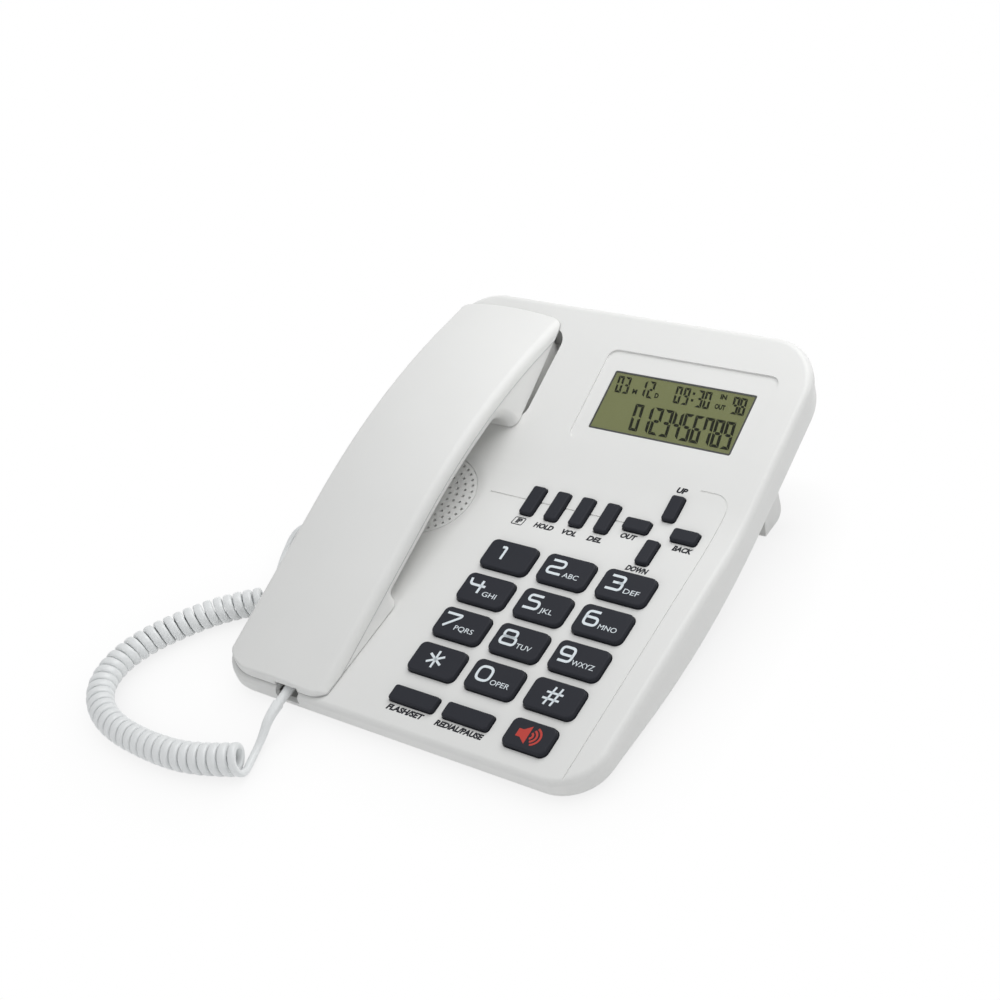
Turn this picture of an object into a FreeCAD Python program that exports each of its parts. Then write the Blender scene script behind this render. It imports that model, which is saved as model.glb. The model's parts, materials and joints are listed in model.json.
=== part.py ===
# Corded desk telephone: base with keypad and display, handset on its cradle, curly cord, rear stand.
# Millimetres. X to the right, Y to the back, Z up. Z = 0 is the table, X = Y = 0 the middle of the base.
import FreeCAD, Part
import math
import os
import re
import Sketcher

os.makedirs("parts", exist_ok=True)
Vector = FreeCAD.Vector
doc = FreeCAD.newDocument("corded_phone")
sheet = doc.addObject("Spreadsheet::Sheet", "sizes")

# Driving dimensions
SIZES = {
    # Base casing
    "base_width": 165, "base_length": 184, "base_corner": 21, "front_corner": 17, "foot_lift": 1.0,
    "panel_front": 9.5, "keypad_tilt": 8, "display_tilt": 19.8, "bend_place": 16.5, "bend_radius": 110,
    "seam_drop": 5, "seam_step": 0.5, "rear_wall": 14, "under_radius": 240,
    "panel_wall": 2.4, "shell_wall": 2.0, "edge_round": 2.6, "under_round": 3.2,
    # Fine grooves in the panel
    "groove_width": 0.6, "groove_depth": 0.3, "groove_row": -5.7, "groove_left": -22.6, "groove_right": 44,
    "field_left": 60, "field_right": 73.2, "field_top": 13.3, "field_corner": 7,
    # Keys
    "key_pitch": 25, "row_pitch": 16.03, "key_column": 4.2, "key_row": -32.15,
    "key_width": 20.5, "key_depth": 12.5, "key_corner": 2.6,
    "talk_key_width": 17.8, "talk_key_depth": 11.1,
    "bar_key_width": 19.5, "bar_key_depth": 6.2, "bar_key_corner": 1.2, "bar_key_shift": 0.8,
    "slim_key_width": 5.6, "slim_key_length": 12.7, "slim_key_corner": 1.1,
    "slim_pitch": 10.9, "slim_column": -1.6, "slim_row": -6.1,
    "nav_column": 53.6, "nav_reach": 9.9, "nav_key_width": 5.2, "nav_key_length": 10.4,
    "key_proud": 1.75, "key_round": 0.7, "key_root": 4.0, "key_gap": 0.35,
    "flange_width": 1.0, "flange_thick": 0.8, "flange_gap": 0.3, "key_travel": 1.0,
    # Display
    "lcd_middle": 33.75, "lcd_place": 41.7, "lcd_width": 60.7, "lcd_height": 25.3, "lcd_lip": 2.2,
    "window_corner": 0.8, "pane_thick": 1.2, "lcd_thick": 2.8,
    "bezel_width": 73.1, "bezel_height": 39.6, "bezel_depth": 0.7,
    "bezel_place": 43, "bezel_corner": 4,
    # Loudspeaker and its grille
    "grille_column": -37, "grille_row": -12.4, "grille_radius": 12.2, "grille_thick": 1.6,
    "grille_ledge": 1.5, "grille_hole": 1.1, "grille_pitch": 2.1, "grille_rim": 1.7, "seat_gap": 0.15,
    "dish_width": 2.6, "dish_depth": 0.5,
    "speaker_radius": 14.5, "speaker_rim": 2.4, "magnet_radius": 7.5, "magnet_depth": 4,
    # Boards inside the base
    "mat_gap": 0.25, "mat_thick": 0.8, "mat_left": -8, "mat_right": 70.5, "mat_front": -102, "mat_rear": 4,
    "board_thick": 1.4, "board_margin": 2.6, "post_radius": 1.2, "post_front": 12, "post_rear": 16,
    # Handset
    "handset_middle": -54, "handset_width": 57, "handset_front": -90.5, "handset_rear": 83,
    "handset_slope": 18.5, "back_front": 14.2, "back_top": 52, "back_radius": 275,
    "ridge_width": 49, "back_crown": 2.4, "side_depth": 18.6, "ridge_round": 4, "end_round": 1.0,
    "back_depth": 6, "grip_depth": 10.2, "grip_front": -44, "grip_rear": 37, "grip_round": 4,
    "ear_bend": 6, "mouth_bend": 1.8,
    "nose_corner": 19, "nose_corner_inner": 11, "tail_corner": 9, "rest_gap": 0.4,
    # Cradle wells and the caps that sit in them
    "well_gap": 0.8, "well_floor": 1.8, "well_corner": 7, "ear_depth": 8, "mouth_depth": 5.4,
    "ear_left": -77, "ear_right": -25, "ear_front": 40, "ear_rear": 80, "ear_cap_right": -29.6,
    "mouth_left": -76, "mouth_right": -32, "mouth_front": -84, "mouth_rear": -52, "mouth_cap_right": -32.8,
    # Hook plunger
    "hook_column": -54, "hook_row": 31.6, "hook_radius": 4, "hook_collar": 5, "hook_travel": 3,
    "collar_thick": 1.2, "hook_gap": 2.6, "switch_gap": 0.4,
    "switch_width": 6, "switch_length": 10, "switch_height": 6,
    # Modular jacks and plugs
    "plug_width": 7.6, "plug_height": 5, "plug_length": 11, "plug_gap": 0.2, "jack_wall": 1.0,
    "boot_length": 5, "long_boot": 18, "boot_wide": 4.6, "boot_slim": 3.2, "boot_seat": 0.5,
    "slot_width": 10.6, "slot_depth": 3.8, "slot_rise": 2.2, "pocket_gap": 0.1,
    "handset_jack_column": -46, "handset_jack_floor": -3.3, "handset_jack_front": -79,
    "base_jack_row": -15, "base_jack_floor": 8.3, "base_plug_inset": 0.2,
    "line_jack_column": 20, "line_width": 9.8, "line_height": 6.4, "line_depth": 12,
    "line_end": 74, "line_top": 2.4, "line_wall": 1.2,
    # Curly cord
    "wire_diameter": 2.5, "coil_radius": 4.05, "coil_pitch": 3.9, "table_gap": 0.05,
    # Rear stand
    "stand_width": 147, "stand_wall": 3, "stand_plate": 2.5, "stand_front": 41, "stand_rear": 53.5,
    "hinge_row": 50, "hinge_drop": 5.4, "eye_radius": 4.4, "pin_radius": 2, "pin_gap": 0.05,
    "lug_thick": 5, "lug_gap": 0.4, "lug_radius": 4,
    "pad_thick": 1.2, "pad_width": 12, "pad_length": 7, "heel_round": 4.5,
    # Feet and screws
    "foot_radius": 6, "foot_column": 60, "foot_row": -74,
    "boss_radius": 3, "screw_radius": 1.3, "head_radius": 2.7, "head_thick": 1.2, "screw_gap": 0.2,
    "screw_column": 76.3, "screw_front": -46, "screw_rear": 34, "screw_length": 7, "screw_seat": 0.3,
    "boss_height": 10.4, "fit_gap": 0.05,
    # Inside the handset
    "receiver_radius": 13, "receiver_depth": 5, "capsule_radius": 4.8, "capsule_depth": 4,
    "ear_skin": 1.6, "mouth_skin": 1.4, "ear_hole_radius": 1.1, "ear_hole_ring": 5, "mouth_hole_radius": 1,
    "ear_screw": 13.5, "mouth_screw": 8.5, "head_sink": 0.2, "weight_drop": 0.9,
    "weight_length": 40, "weight_width": 16, "weight_thick": 3,
}
for row, (alias, value) in enumerate(SIZES.items(), start=1):
    sheet.set("A%d" % row, alias)
    sheet.set("B%d" % row, str(value))
    sheet.setAlias("B%d" % row, alias)
doc.recompute()


def ex(text):
    """Expression in which each size is named by its cell."""
    return re.sub(r"[a-z]+(?:_[a-z]+)+", lambda word: "sizes." + word.group(0), text)


def num(text):
    """Present value of an expression."""
    return float(sheet.evalExpression(ex(text)))


def bind(item, name, text):
    """Tie a property to an expression over the sheet."""
    item.setExpression(name, ex(text))


# Heights of the sloping panel and of the underside
TAN_KEYPAD = "tan(keypad_tilt * 1deg)"
TAN_DISPLAY = "tan(display_tilt * 1deg)"
BEND_HEIGHT = "(panel_front + (bend_place + base_length / 2) * %s)" % TAN_KEYPAD
REAR_HEIGHT = "(%s + (base_length / 2 - bend_place) * %s)" % (BEND_HEIGHT, TAN_DISPLAY)
UNDER_REAR = "(%s - rear_wall)" % REAR_HEIGHT
UNDER_PLACE = "(base_length / 2 - (%s - foot_lift) / %s)" % (UNDER_REAR, TAN_DISPLAY)
MARGIN = "5"


def panel_height(place, tangent=None):
    """Height of the flat panel stretches at a place along Y."""
    tangent = tangent or (TAN_KEYPAD if num(place) < num("bend_place") else TAN_DISPLAY)
    return "(%s + (%s - bend_place) * %s)" % (BEND_HEIGHT, place, tangent)


def under_height(place):
    """Height of the underside's sloping stretch at a place along Y."""
    return "(%s - (base_length / 2 - (%s)) * %s)" % (UNDER_REAR, place, TAN_DISPLAY)


# Sketches and simple solids
def new_sketch(body, name, role):
    """Sketch on one of its body's origin planes."""
    plane = [item for item in body.Origin.OriginFeatures if item.Role == role][0]
    sketch = body.newObject("Sketcher::SketchObject", name)
    sketch.AttachmentSupport = [(plane, "")]
    sketch.MapMode = "FlatFace"
    return sketch


def fix_point(sketch, line, end, across, along):
    """Hold one end of a line at bound coordinates."""
    for kind, text in (("DistanceX", across), ("DistanceY", along)):
        index = sketch.addConstraint(Sketcher.Constraint(kind, -1, 1, line, end, num(text)))
        sketch.setExpression("Constraints[%d]" % index, ex(text))


def polygon(sketch, corners):
    """Closed outline of straight lines with every corner bound."""
    spots = [Vector(num(across), num(along), 0) for across, along in corners]
    count = len(spots)
    for index in range(count):
        sketch.addGeometry(Part.LineSegment(spots[index], spots[(index + 1) % count]))
    for index in range(count):
        sketch.addConstraint(Sketcher.Constraint("Coincident", index, 2, (index + 1) % count, 1))
    for index, (across, along) in enumerate(corners):
        fix_point(sketch, index, 1, across, along)


def rounded_outline(sketch, left, right, front, rear, radii):
    """Rectangle with a radius of its own at each corner: front left, front right, rear right, rear left."""
    low_x, high_x, low_y, high_y = num(left), num(right), num(front), num(rear)
    sizes = [num(radius) for radius in radii]
    centres = [(low_x + sizes[0], low_y + sizes[0]), (high_x - sizes[1], low_y + sizes[1]),
               (high_x - sizes[2], high_y - sizes[2]), (low_x + sizes[3], high_y - sizes[3])]
    starts = [(centres[0][0], low_y), (high_x, centres[1][1]),
              (centres[2][0], high_y), (low_x, centres[3][1])]
    ends = [(centres[1][0], low_y), (high_x, centres[2][1]),
            (centres[3][0], high_y), (low_x, centres[0][1])]
    for start, end in zip(starts, ends):
        sketch.addGeometry(Part.LineSegment(Vector(*start, 0), Vector(*end, 0)))
    for index in range(4):
        circle = Part.Circle(Vector(*centres[index], 0), Vector(0, 0, 1), sizes[index])
        turn = math.pi + index * math.pi / 2
        sketch.addGeometry(Part.ArcOfCircle(circle, turn, turn + math.pi / 2))
    for index in range(4):
        sketch.addConstraint(Sketcher.Constraint("Tangent", (index + 3) % 4, 2, 4 + index, 1))
        sketch.addConstraint(Sketcher.Constraint("Tangent", 4 + index, 2, index, 1))
        kind = "Horizontal" if index % 2 == 0 else "Vertical"
        sketch.addConstraint(Sketcher.Constraint(kind, index))
        number = sketch.addConstraint(Sketcher.Constraint("Radius", 4 + index, sizes[index]))
        sketch.setExpression("Constraints[%d]" % number, ex(radii[index]))
    for line, kind, text in ((0, "DistanceY", front), (1, "DistanceX", right),
                             (2, "DistanceY", rear), (3, "DistanceX", left)):
        number = sketch.addConstraint(Sketcher.Constraint(kind, -1, 1, line, 1, num(text)))
        sketch.setExpression("Constraints[%d]" % number, ex(text))


def pad(body, sketch, length, symmetric=False):
    """Pad of a sketch with a bound length."""
    feature = body.newObject("PartDesign::Pad", body.Name + "_pad")
    feature.Profile = sketch
    bind(feature, "Length", length)
    if symmetric:
        feature.SideType = "Symmetric"
    doc.recompute()
    return feature


def side_block(name, corners, width, bends=()):
    """Side profile padded across the base, its listed corners rounded with bound radii."""
    body = doc.addObject("PartDesign::Body", name)
    sketch = new_sketch(body, name + "_profile", "YZ_Plane")
    polygon(sketch, corners)
    feature = pad(body, sketch, width, symmetric=True)
    for place, height, radius in bends:
        spot = Vector(0, num(place), num(height))
        names = ["Edge%d" % (index + 1) for index, edge in enumerate(feature.Shape.Edges)
                 if edge.CenterOfMass.distanceToPoint(spot) < 0.01]
        fillet = body.newObject("PartDesign::Fillet", name + "_bend")
        fillet.Base = (feature, names)
        bind(fillet, "Radius", radius)
        doc.recompute()
        feature = fillet
    return body


def plan_block(name, left, right, front, rear, radii, low, high):
    """Rounded plan outline padded upright between two heights."""
    body = doc.addObject("PartDesign::Body", name)
    sketch = new_sketch(body, name + "_outline", "XY_Plane")
    bind(sketch, "AttachmentOffset.Base.z", low)
    rounded_outline(sketch, left, right, front, rear, radii)
    pad(body, sketch, "(%s) - (%s)" % (high, low))
    return body


def place_at(item, across, along, height, tilt=None):
    """Bound position, with an optional tilt about X."""
    for axis, text in (("x", across), ("y", along), ("z", height)):
        bind(item, "Placement.Base." + axis, text)
    if tilt is not None:
        item.Placement = FreeCAD.Placement(item.Placement.Base, FreeCAD.Rotation(Vector(1, 0, 0), 1))
        bind(item, "Placement.Rotation.Angle", tilt)
    doc.recompute()


def box(name, low, size, tilt=None):
    """Bound box from its low corner."""
    item = doc.addObject("Part::Box", name)
    for prop, text in zip(("Length", "Width", "Height"), size):
        bind(item, prop, text)
    place_at(item, *low, tilt=tilt)
    return item


def rod(name, base, radius, length, turn=None):
    """Bound cylinder from the middle of its lower face; turn is a fixed rotation."""
    item = doc.addObject("Part::Cylinder", name)
    bind(item, "Radius", radius)
    bind(item, "Height", length)
    if turn is not None:
        item.Placement = FreeCAD.Placement(Vector(0, 0, 0), turn)
    place_at(item, *base)
    return item


def tilted_rod(name, base, radius, length, tilt):
    """Bound cylinder that stands square to a sloping stretch."""
    item = doc.addObject("Part::Cylinder", name)
    bind(item, "Radius", radius)
    bind(item, "Height", length)
    place_at(item, *base, tilt=tilt)
    return item


def join(kind, name, first, second):
    """Boolean of two objects: Cut, Common or Fuse."""
    item = doc.addObject("Part::" + kind, name)
    item.Base = first
    item.Tool = second
    doc.recompute()
    return item


def together(name, items):
    """Several tools as one."""
    item = doc.addObject("Part::Compound", name)
    item.Links = items
    doc.recompute()
    return item


def fuse_all(name, items):
    """One solid from several."""
    item = doc.addObject("Part::MultiFuse", name)
    item.Shapes = items
    doc.recompute()
    return item


def round_edges(name, base, radius, wanted):
    """Fillet on the edges that a test picks."""
    item = doc.addObject("Part::Fillet", name)
    item.Base = base
    value = num(radius)
    item.Edges = [(index + 1, value, value) for index, edge in enumerate(base.Shape.Edges) if wanted(edge)]
    doc.recompute()
    return item


NODES = {}


def node(name, item):
    """Name a finished piece."""
    item.Label = name
    NODES[name] = item
    return item


# Slopes: places measured along the keypad or the display from the bend between them
ON_KEYPAD = "keypad_tilt"
ON_DISPLAY = "display_tilt"


def on_slope(tilt, along, above):
    """Y and Z of a spot on a slope."""
    place = "(bend_place + (%s) * cos(%s * 1deg) - (%s) * sin(%s * 1deg))" % (along, tilt, above, tilt)
    height = "(%s + (%s) * sin(%s * 1deg) + (%s) * cos(%s * 1deg))" % (BEND_HEIGHT, along, tilt, above, tilt)
    return place, height


BEND_REACH = "(bend_radius * tan((display_tilt - keypad_tilt) * 0.5deg))"


def curved_spot(along, above):
    """Y, Z and tilt of a spot near the bend, where the panel rises off the keypad's slope."""
    if num(along) <= -num(BEND_REACH):
        place, height = on_slope(ON_KEYPAD, along, above)
        return place, height, "keypad_tilt"
    turn = "((%s + %s) / bend_radius * 180 / pi)" % (along, BEND_REACH)
    rise = "(bend_radius * (1 - cos(%s * 1deg)))" % turn
    reach = "(bend_radius * sin(%s * 1deg) - %s)" % (turn, BEND_REACH)
    lean = "(keypad_tilt + %s)" % turn
    place, height = on_slope(ON_KEYPAD, reach, rise)
    place = "(%s - (%s) * sin(%s * 1deg))" % (place, above, lean)
    height = "(%s + (%s) * cos(%s * 1deg))" % (height, above, lean)
    return place, height, lean


# Base casing: blocks below the panel and above the underside, shifted as needed
HALF_WIDTH = "base_width / 2"
HALF_LENGTH = "base_length / 2"
CORNERS = ("front_corner", "front_corner", "base_corner", "base_corner")


FRONT_END = "-(%s) - %s" % (HALF_LENGTH, MARGIN)
REAR_END = "%s + %s" % (HALF_LENGTH, MARGIN)


def under_panel(name, drop):
    """Everything below the panel surface lowered by a drop."""
    front = "panel_front - %s * %s - (%s)" % (MARGIN, TAN_KEYPAD, drop)
    rear = "%s + %s * %s - (%s)" % (REAR_HEIGHT, MARGIN, TAN_DISPLAY, drop)
    bend = "%s - (%s)" % (BEND_HEIGHT, drop)
    corners = [(FRONT_END, "-20"), (REAR_END, "-20"), (REAR_END, rear),
               ("bend_place", bend), (FRONT_END, front)]
    return side_block(name, corners, "base_width + 20", [("bend_place", bend, "bend_radius")])


def over_underside(name, lift):
    """Everything above the underside raised by a lift."""
    low = "foot_lift + (%s)" % lift
    rear = "%s + %s * %s + (%s)" % (UNDER_REAR, MARGIN, TAN_DISPLAY, lift)
    corners = [(FRONT_END, low), (UNDER_PLACE, low), (REAR_END, rear), (REAR_END, "120"), (FRONT_END, "120")]
    return side_block(name, corners, "base_width + 20", [(UNDER_PLACE, low, "under_radius")])


def base_plan(name, inset):
    """Upright block of the base's plan outline, drawn in by an inset."""
    half_w, half_l = "(%s - (%s))" % (HALF_WIDTH, inset), "(%s - (%s))" % (HALF_LENGTH, inset)
    radii = ["%s - (%s)" % (corner, inset) for corner in CORNERS]
    return plan_block(name, "-" + half_w, half_w, "-" + half_l, half_l, radii, "-5", "90")


def outline_gap(spot, inset):
    """How far a plan point lies from the base's rounded outline."""
    corner = num("front_corner" if spot.y < 0 else "base_corner") - inset
    across = abs(spot.x) - (num(HALF_WIDTH) - inset - corner)
    along = abs(spot.y) - (num(HALF_LENGTH) - inset - corner)
    outside = math.hypot(max(across, 0), max(along, 0))
    return abs(outside + min(max(across, along), 0) - corner)


def rim_edge(edge, inset, height, slack):
    """True for an edge of the rim at about a given height."""
    spot = edge.valueAt((edge.FirstParameter + edge.LastParameter) / 2)
    first, last = edge.valueAt(edge.FirstParameter), edge.valueAt(edge.LastParameter)
    level = math.hypot(first.x - last.x, first.y - last.y) > 0.5
    return level and outline_gap(spot, inset) < 0.02 and abs(spot.z - height(spot.y)) < slack


def panel_line(place):
    """Panel height as a number."""
    return num(panel_height(str(place)))


def under_line(place):
    """Underside height as a number, with the arc between its flat and its slope."""
    radius, turn = num("under_radius"), math.radians(num("display_tilt"))
    run = place - num(UNDER_PLACE) + radius * math.tan(turn / 2)
    if run < 0:
        return num("foot_lift")
    if run > radius * math.sin(turn):
        return num(under_height(str(place)))
    return num("foot_lift") + radius - math.sqrt(radius ** 2 - run ** 2)


panel_block = under_panel("panel_block", "0")
seam_block = under_panel("seam_block", "seam_drop")
room_top = under_panel("room_top", "panel_wall")
room_floor = over_underside("room_floor", "shell_wall")
under_block = over_underside("under_block", "0")
room = join("Common", "room_height", room_top, room_floor)
room = join("Common", "room", room, base_plan("room_plan", "shell_wall"))

top_full = join("Common", "top_full", panel_block, base_plan("top_plan", "0"))
top_full = join("Cut", "top_part", top_full, seam_block)
top_full = round_edges("top_round", top_full, "edge_round", lambda edge: rim_edge(edge, 0, panel_line, 1.0))
bottom_full = join("Common", "bottom_full", seam_block, base_plan("bottom_plan", "seam_step"))
bottom_full = join("Common", "bottom_part", bottom_full, under_block)
bottom_full = round_edges("bottom_round", bottom_full, "under_round",
                          lambda edge: rim_edge(edge, num("seam_step"), under_line, 1.0))

top_shell = join("Cut", "top_hollow", top_full, room)
bottom_shell = join("Cut", "bottom_hollow", bottom_full, room)


# Keys: a flange under the panel and a cap that stands out of it
def prism(name, width, depth, corner, low, high, grow="0"):
    """Rounded upright prism about its own middle."""
    half_w, half_d = "(%s / 2 + %s)" % (width, grow), "(%s / 2 + %s)" % (depth, grow)
    radius = "(%s + %s)" % (corner, grow)
    return plan_block(name, "-" + half_w, half_w, "-" + half_d, half_d, [radius] * 4, low, high)


def make_key(name, across, along, width, depth, corner):
    """One key and the hole it works in."""
    place, height, tilt = curved_spot(along, "0")
    skirt = "-(panel_wall + flange_gap)"
    body = prism(name + "_cap", width, depth, corner, skirt + " - flange_thick", skirt, "flange_width")
    sketch = new_sketch(body, name + "_top_outline", "XY_Plane")
    bind(sketch, "AttachmentOffset.Base.z", "-key_root")
    half_w, half_d = "(%s / 2)" % width, "(%s / 2)" % depth
    rounded_outline(sketch, "-" + half_w, half_w, "-" + half_d, half_d, [corner] * 4)
    feature = pad(body, sketch, "key_root + key_proud")
    top = num("key_proud")
    names = ["Edge%d" % (index + 1) for index, edge in enumerate(feature.Shape.Edges)
             if abs(edge.CenterOfMass.z - top) < 0.001]
    fillet = body.newObject("PartDesign::Fillet", name + "_round")
    fillet.Base = (feature, names)
    bind(fillet, "Radius", "key_round")
    place_at(body, across, place, height, tilt)
    hole = prism(name + "_hole", width, depth, corner, "-6", "4", "key_gap")
    place_at(hole, across, place, height, tilt)
    node(name, body)
    return hole


holes = []
BIG = ("key_width", "key_depth", "key_corner")
BAR = ("bar_key_width", "bar_key_depth", "bar_key_corner")
TALK = ("talk_key_width", "talk_key_depth", "key_corner")
SLIM = ("slim_key_width", "slim_key_length", "slim_key_corner")
UPRIGHT = ("nav_key_width", "nav_key_length", "slim_key_corner")
LEVEL = ("nav_key_length", "nav_key_width", "slim_key_corner")
for index, label in enumerate(("1", "2", "3", "4", "5", "6", "7", "8", "9", "star", "0", "hash")):
    across = "key_column + %d * key_pitch" % (index % 3)
    along = "key_row - %d * row_pitch" % (index // 3)
    holes.append(make_key("key_" + label, across, along, *BIG))
last_row = "key_row - 4 * row_pitch"
holes.append(make_key("key_speaker", "key_column + 2 * key_pitch", last_row, *TALK))
holes.append(make_key("key_flash", "key_column + bar_key_shift", last_row, *BAR))
holes.append(make_key("key_redial", "key_column + key_pitch - bar_key_shift", last_row, *BAR))
for index, label in enumerate(("ip", "hold", "volume", "delete")):
    holes.append(make_key("key_" + label, "slim_column + %d * slim_pitch" % index, "slim_row", *SLIM))
holes.append(make_key("key_up", "nav_column", "slim_row + nav_reach", *UPRIGHT))
holes.append(make_key("key_down", "nav_column", "slim_row - nav_reach", *UPRIGHT))
holes.append(make_key("key_out", "nav_column - nav_reach", "slim_row", *LEVEL))
holes.append(make_key("key_back", "nav_column + nav_reach", "slim_row", *LEVEL))

# Display: bezel recess, opening, pane and module
WINDOW = ("lcd_width", "lcd_height", "window_corner")
WINDOW_SPOT = ("lcd_middle", *on_slope(ON_DISPLAY, "lcd_place", "0"), "display_tilt")
opening = prism("lcd_opening", *WINDOW, "-6", "4")
place_at(opening, *WINDOW_SPOT)
bezel = prism("bezel_recess", "bezel_width", "bezel_height", "bezel_corner", "-bezel_depth", "5")
place_at(bezel, "lcd_middle", *on_slope(ON_DISPLAY, "bezel_place", "0"), "display_tilt")
PANE_TOP = "-(panel_wall + fit_gap)"
pane = prism("lcd_pane", *WINDOW, PANE_TOP + " - pane_thick", PANE_TOP, "lcd_lip")
place_at(pane, *WINDOW_SPOT)
node("lcd_window", pane)
MODULE_TOP = PANE_TOP + " - pane_thick - fit_gap"
module = prism("lcd_body", *WINDOW, MODULE_TOP + " - lcd_thick", MODULE_TOP, "lcd_lip")
place_at(module, *WINDOW_SPOT)
node("lcd_module", module)

# Loudspeaker grille: a drilled disc on a ledge in the panel, the loudspeaker under it
SEAT = on_slope(ON_KEYPAD, "grille_row", "-grille_thick")
seat = tilted_rod("grille_seat", ("grille_column", *SEAT),
                  "grille_radius + seat_gap", "grille_thick + 4", "keypad_tilt")
throat = tilted_rod("grille_throat", ("grille_column", *on_slope(ON_KEYPAD, "grille_row", "-6")),
                    "grille_radius - grille_ledge", "8", "keypad_tilt")
dish = doc.addObject("Part::Cone", "grille_dish")
bind(dish, "Radius1", "grille_radius + seat_gap")
bind(dish, "Radius2", "grille_radius + seat_gap + 2 * dish_width")
bind(dish, "Height", "2 * dish_depth")
place_at(dish, "grille_column", *on_slope(ON_KEYPAD, "grille_row", "-dish_depth"), "keypad_tilt")
disc = doc.addObject("Part::Cylinder", "grille_disc")
bind(disc, "Radius", "grille_radius")
bind(disc, "Height", "grille_thick")
bores = []
reach = num("grille_radius - grille_rim")
count = int(reach / num("grille_pitch")) + 1
for row in range(-count - 1, count + 2):
    for column in range(-count - 1, count + 2):
        across = "(%d * grille_pitch + %d * grille_pitch / 2)" % (column, row % 2)
        along = "(%d * grille_pitch * sqrt(3) / 2)" % row
        if math.hypot(num(across), num(along)) > reach:
            continue
        bore = doc.addObject("Part::Cylinder", "grille_bore")
        bind(bore, "Radius", "grille_hole / 2")
        bind(bore, "Height", "grille_thick + 2")
        place_at(bore, across, along, "-1")
        bores.append(bore)
grille = join("Cut", "grille", disc, together("grille_bores", bores))
place_at(grille, "grille_column", *SEAT, "keypad_tilt")
node("speaker_grille", grille)
RIM_LOW = "-(panel_wall + fit_gap + speaker_rim)"
rim = tilted_rod("speaker_basket", ("grille_column", *on_slope(ON_KEYPAD, "grille_row", RIM_LOW)),
                 "speaker_radius", "speaker_rim", "keypad_tilt")
magnet_spot = on_slope(ON_KEYPAD, "grille_row", RIM_LOW + " - magnet_depth")
magnet = tilted_rod("speaker_magnet", ("grille_column", *magnet_spot),
                    "magnet_radius", "magnet_depth", "keypad_tilt")
node("loudspeaker", fuse_all("speaker_unit", [rim, magnet]))

# Rubber mat under the keys, board under the mat, posts that hold the board to the panel
MAT_TOP = "-(key_root + key_travel + mat_gap)"
mat = box("mat", ("mat_left", *on_slope(ON_KEYPAD, "mat_front", MAT_TOP + " - mat_thick")),
          ("mat_right - mat_left", "mat_rear - mat_front", "mat_thick"), "keypad_tilt")
node("keypad_mat", mat)
BOARD_TOP = MAT_TOP + " - mat_thick"
board_spot = on_slope(ON_KEYPAD, "mat_front", BOARD_TOP + " - board_thick")
board = box("board", ("mat_left - board_margin", *board_spot),
            ("mat_right - mat_left + 2 * board_margin", "mat_rear - mat_front", "board_thick"), "keypad_tilt")
node("main_board", board)
posts = []
POST_HEIGHT = "-(%s) - panel_wall / 2" % BOARD_TOP
for side in ("mat_left - board_margin / 2", "mat_right + board_margin / 2"):
    for along in ("mat_front + post_front", "mat_rear - post_rear"):
        spot = on_slope(ON_KEYPAD, along, BOARD_TOP)
        posts.append(tilted_rod("board_post", (side, *spot), "post_radius", POST_HEIGHT, "keypad_tilt"))

# Cradle wells: closed tubs under the panel
def well(name, kind, grow, low_drop, top_drop):
    """Block of a well's plan between two depths under the panel."""
    sides = [name + "_left - (%s)" % grow, name + "_right + (%s)" % grow,
             name + "_front - (%s)" % grow, name + "_rear + (%s)" % grow]
    tag = "%s_%s" % (name, kind)
    block = plan_block(tag + "_plan", *sides, ["well_corner + (%s)" % grow] * 4, "-5", "90")
    block = join("Cut", tag + "_lower", block, under_panel(tag + "_floor", low_drop))
    if top_drop is None:
        return block
    return join("Common", tag + "_upper", block, under_panel(tag + "_ceiling", top_drop))


tubs = [well(name, "tub", "well_floor", name + "_depth + well_floor", "0.2") for name in ("ear", "mouth")]
wells = [well(name, "well", "0", name + "_depth", None) for name in ("ear", "mouth")]

# Hook plunger beside its switch
hook_hole = rod("hook_hole", ("hook_column", "hook_row", "-5"), "hook_radius + key_gap", "100")
GRIP_LEAN = "asin((handset_rear - 15 - hook_row) / back_radius)"
GRIP_FALL = "(1 - cos(%s)) * back_radius" % GRIP_LEAN
HOOK_TOP = "(back_top - %s - grip_depth / cos(%s) - hook_gap)" % (GRIP_FALL, GRIP_LEAN)
COLLAR = "(%s - panel_wall - hook_collar * %s - hook_travel - 1.6)" % (panel_height("hook_row"), TAN_DISPLAY)
pin = rod("hook_pin", ("hook_column", "hook_row", COLLAR), "hook_radius", "%s - %s" % (HOOK_TOP, COLLAR))
collar = rod("hook_foot", ("hook_column", "hook_row", COLLAR), "hook_collar", "collar_thick")
node("hook_plunger", fuse_all("plunger", [pin, collar]))


def on_floor(place, above):
    """Y and Z of a spot over the underside's slope."""
    return ("(%s - (%s) * sin(display_tilt * 1deg))" % (place, above),
            "(%s + (%s) * cos(display_tilt * 1deg))" % (under_height(place), above))


FLOOR = "(shell_wall * cos(display_tilt * 1deg) + fit_gap)"
switch_spot = on_floor("hook_row - switch_length / 2", FLOOR)
switch = box("switch_body", ("hook_column + hook_collar + switch_gap", *switch_spot),
             ("switch_width", "switch_length", "switch_height"), "display_tilt")
node("hook_switch", switch)

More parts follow.
